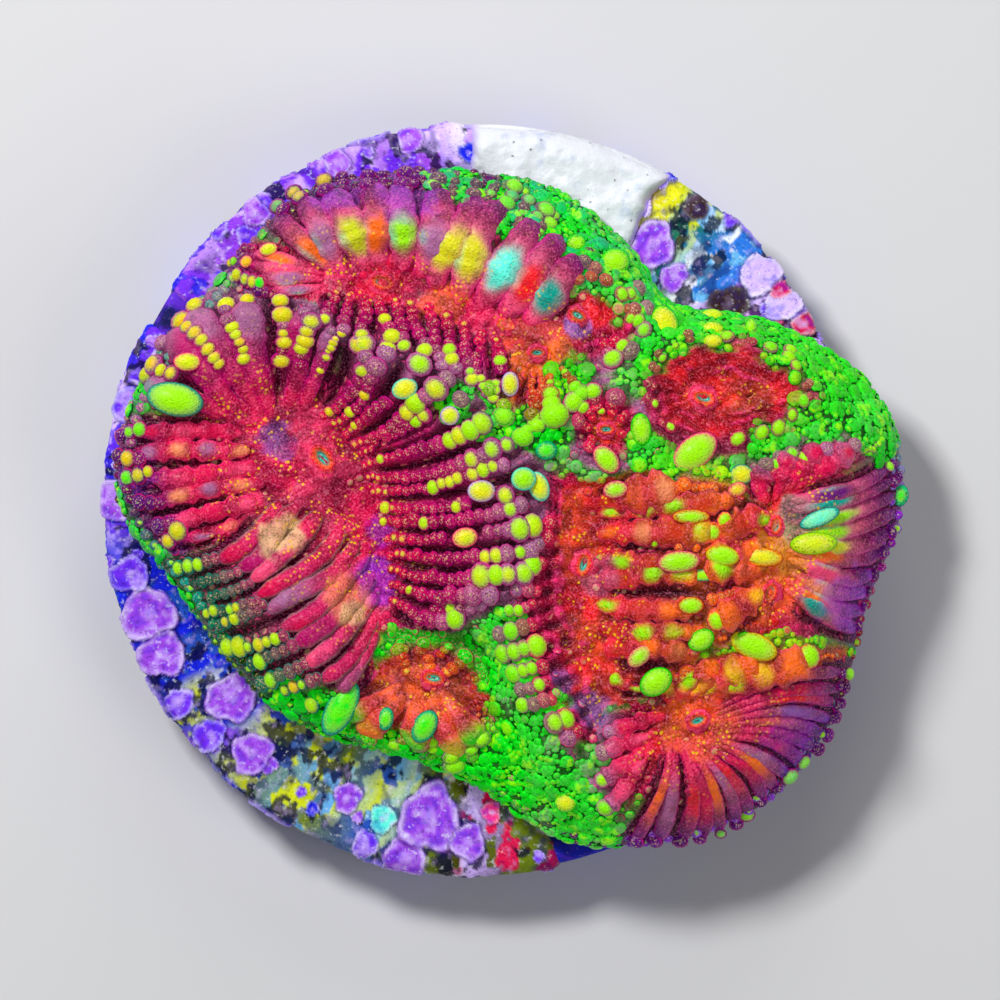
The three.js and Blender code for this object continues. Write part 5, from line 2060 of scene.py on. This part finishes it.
# ---- the whole ----------------------------------------------------------------------------------
@dataclass
class Studio:
    """Pale floor, soft lights and a camera straight above."""

    middle: float = 1.33
    field: float = 66.7
    distance: float = 800.0
    subject: float = 12.0
    sensor: float = 36.0
    floor_half: float = 900.0
    lights: tuple[tuple[str, tuple[float, float, float], float, float], ...] = (
        ("key", (-150, 180, 330), 80, 1.22),
        ("fill", (240, -120, 300), 220, 0.30),
        ("back", (40, 320, 180), 160, 0.25),
    )

    def _light(self, name: str, place: tuple[float, float, float], size: float, power: float) -> None:
        """Adds a square soft light that faces the object.

        Args:
            name: The light's name.
            place: Where it hangs, in millimetres.
            size: Its side, in millimetres.
            power: Its power, in watts.
        """
        lamp = bpy.data.lights.new(name, "AREA")
        lamp.size = size * MM
        lamp.energy = power
        thing = bpy.data.objects.new(name, lamp)
        thing.location = Vector(place) * MM
        thing.rotation_euler = (Vector((0, 0, 8 * MM)) - thing.location).to_track_quat("-Z", "Y").to_euler()
        bpy.context.scene.collection.objects.link(thing)

    def build(self) -> None:
        """Sets up the floor, the lights, the surroundings and the camera."""
        s = Shader("pale_floor")
        grain = s.noise(40.0, 3.0)
        pale = s.mix(grain * 0.1, (0.78, 0.78, 0.79, 1), (0.7, 0.7, 0.71, 1))
        material = s.finish(pale, roughness=0.9, specular=0.1)
        corners = self.floor_half * np.array([[-1, -1, 0], [1, -1, 0], [1, 1, 0], [-1, 1, 0]])
        plain_mesh("floor", corners, [np.array([[0, 1, 2, 3]])], None, material)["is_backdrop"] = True
        for light in self.lights:
            self._light(*light)
        world = bpy.data.worlds.new("studio")
        world.use_nodes = True
        world.node_tree.nodes["Background"].inputs["Color"].default_value = (0.85, 0.88, 0.95, 1)
        world.node_tree.nodes["Background"].inputs["Strength"].default_value = 0.11
        scene = bpy.context.scene
        scene.world = world
        scene.view_settings.view_transform = "Standard"
        camera = bpy.data.cameras.new("camera")
        camera.sensor_width = self.sensor
        camera.lens = self.sensor * (self.distance - self.subject) / self.field
        camera.clip_start, camera.clip_end = 0.01, 10.0
        thing = bpy.data.objects.new("camera", camera)
        thing.location = (self.middle * MM, 0.0, self.distance * MM)
        scene.collection.objects.link(thing)
        scene.camera = thing


def place_piece(piece: Object, slot: str, *nodes: str) -> None:
    """Ties a piece to the frame and logs it.

    Args:
        piece: The piece.
        slot: Not used.
        nodes: CAD nodes that it stands for.
    """
    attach(piece, "root")
    if nodes:
        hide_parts(*nodes)
    piece.data.calc_loop_triangles()
    LOG.info("%s: %d triangles", piece.name, len(piece.data.loop_triangles))


def crusts(form: Form) -> tuple[tuple[Crust, str], ...]:
    """The three crusts, each with the CAD node that it stands for."""
    front, right, back = (
        tuple(Plate(*row) for row in rows)
        for rows in (
            ((199, 1.5, 1.9, Hue.PURPLE), (192, 1.0, 1.3), (206, 1.3, 1.6, Hue.PURPLE),
             (218.5, 3.7, 1.9, Hue.PURPLE), (214, 0.7, 1.0),
             (221, 1.0, 1.1), (228, 2.1, 1.5, Hue.PURPLE), (246, 3.1, 1.1, Hue.PURPLE),
             (253, 2.6, 1.0, Hue.CYAN), (251.5, 0.7, 0.9), (258, 0.5, 1.5, Hue.PURPLE),
             (261, 3.4, 2.4, Hue.PURPLE),
             (268, 2.0, 1.3, Hue.PURPLE), (272, 4.0, 0.8, Hue.PINK), (212, -1.7, 1.8), (236, -1.8, 1.9),
             (255, -1.8, 1.7), (180, 1.0, 1.5, Hue.PURPLE), (165, 0.9, 1.3)),
            ((56, 4.4, 1.8, Hue.PURPLE), (62, 2.4, 1.1, Hue.LILAC), (49, 5.2, 1.1, Hue.PURPLE),
             (38.7, 1.0, 1.4, Hue.LILAC), (33, 0.9, 1.2, Hue.LILAC), (35, 0.5, 0.6, Hue.CRIMSON),
             (28.5, 0.3, 0.8, Hue.CRIMSON), (53.6, 0.6, 0.9, Hue.BARK), (38, 3.9, 1.6, Hue.BARK),
             (45, -1.6, 1.6)),
            ((101, 0.4, 0.9, Hue.PURPLE), (113, 0.5, 0.9, Hue.PURPLE), (128, 0.6, 0.9, Hue.PURPLE),
             (107, -1.6, 1.7)),
        )
    )
    turf = (Hue.CITRON, Hue.SKY, Hue.OLIVE)
    return (
        (Crust("crust_front_growth", form, 150, 284, front, (
            (150, Hue.VIOLET, Hue.BLUE, Hue.LILAC), (184, Hue.BLUE, Hue.VIOLET, Hue.LILAC),
            (190, Hue.BLUE, Hue.COBALT, Hue.BLUE), (212, Hue.BLUE, Hue.COBALT, Hue.BLUE),
            (217, Hue.CITRON, Hue.WHITE, Hue.COBALT), (222, Hue.BLUE, Hue.VIOLET, Hue.PURPLE),
            (229, Hue.CITRON, Hue.OLIVE, Hue.COBALT),
            (243, Hue.CITRON, Hue.SKY, Hue.OLIVE), (252, Hue.SKY, Hue.CITRON, Hue.COBALT), (260, *turf),
            (268, Hue.LILAC, Hue.CRIMSON, Hue.BARK),
            (276, Hue.BARK, Hue.CRIMSON, Hue.OLIVE), (284, Hue.BARK, Hue.NAVY, Hue.BARK)), seed=3),
         "crust_front"),
        (Crust("crust_right_growth", form, 14, 63, right, (
            (14, Hue.BARK, Hue.MAROON, Hue.BARK), (26, Hue.BARK, Hue.CRIMSON, Hue.MAROON),
            (31, Hue.CRIMSON, Hue.PURPLE, Hue.LILAC), (37, Hue.LILAC, Hue.BARK, Hue.PURPLE),
            (42, Hue.LILAC, Hue.SKY, Hue.AZURE), (47, Hue.WHITE, Hue.SKY, Hue.AZURE),
            (52, Hue.SKY, Hue.CITRON, Hue.LAGOON), (56, Hue.CITRON, Hue.YELLOW, Hue.LAGOON),
            (60, Hue.GOLD, Hue.YELLOW, Hue.CITRON),
            (63, Hue.LILAC, Hue.PURPLE, Hue.BARK)), seed=4), "crust_right"),
        (Crust("crust_back_growth", form, 88, 148, back, (
            (88, Hue.WHITE, Hue.LILAC, Hue.TEAL), (95, Hue.LILAC, Hue.PURPLE, Hue.LILAC),
            (100, Hue.LILAC, Hue.PURPLE, Hue.VIOLET), (125, Hue.PURPLE, Hue.LILAC, Hue.VIOLET),
            (148, Hue.VIOLET, Hue.PURPLE, Hue.BLUE)), seed=6), "crust_back"),
    )


def main() -> None:
    """Builds every piece in order and ties it to the frame."""
    low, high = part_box("frag_disc")
    form = Form(disc_top=high.z / MM)
    Studio().build()
    disc = FragDisc(radius=high.x / MM, thickness=(high.z - low.z) / MM).build(MottledCeramic().material())
    place_piece(disc, "disc", "frag_disc")
    stone = CrustStone().material()
    for crust, node in crusts(form):
        place_piece(crust.build(stone), "coralline", node)
    place_piece(GluePad(form).build(CuredGlue().material()), "glue", "glue_pad")
    skin, beads, granules = WetTissue().material(), bead_tree(), granule_tree()
    chart = Chart()
    flesh = Flesh(form, chart).build(skin)
    green = GranuleSkin("wall_skin", Hue.LIME, Hue.NEON, Hue.PINE, 0.5, 0.40)
    bulbs = GranuleSkin("bulb_skin", Hue.LIME, Hue.NEON, Hue.PINE, 0.7, 0.45)
    coats = (
        ("wall_granules", "wall", (7, 5), 0.36, (0.14, 0.38), 0.75, green),
        ("wall_bulbs", "wall", (14, 9), 1.30, (0.38, 0.64), 0.60, bulbs),
        ("papillae", "scaly", (7, 4), 0.62, (0.16, 0.36), 0.50, GranuleSkin(
            "papilla_skin", Hue.TAN, Hue.PINK, Hue.MAROON, 0.6)),
    )
    grains = [
        granules.bake(flesh, name, {
            "Segments": fine[0], "Rings": fine[1], "Spacing": gap * MM, "Least": size[0] * MM,
            "Most": size[1] * MM, "Flat": flat, "Seed": 4, "Where": where, "Material": coat.material()})
        for name, where, fine, gap, size, flat, coat in coats
    ]
    place_piece(flesh, "coral", "coral_colony")
    folds = Folds(form).build(skin)
    for piece in (*grains, folds):
        place_piece(piece, "coral")
    bead_skin = BeadSkin().material()
    ground = ground_of(flesh, folds)
    for piece in Septa(form, chart).build(beads, bead_skin, ground):
        place_piece(piece, "coral")
    place_piece(Margin(form).build(beads, bead_skin, ground), "coral")
    place_piece(Mouths(form).build(skin), "coral")
    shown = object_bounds()
    sizes = {"cad": [list(corner) for corner in CAD_BOUNDS], "visual": [list(corner) for corner in shown]}


if __name__ == "__main__":
    logging.basicConfig(level=logging.INFO, format="%(message)s")
    main()
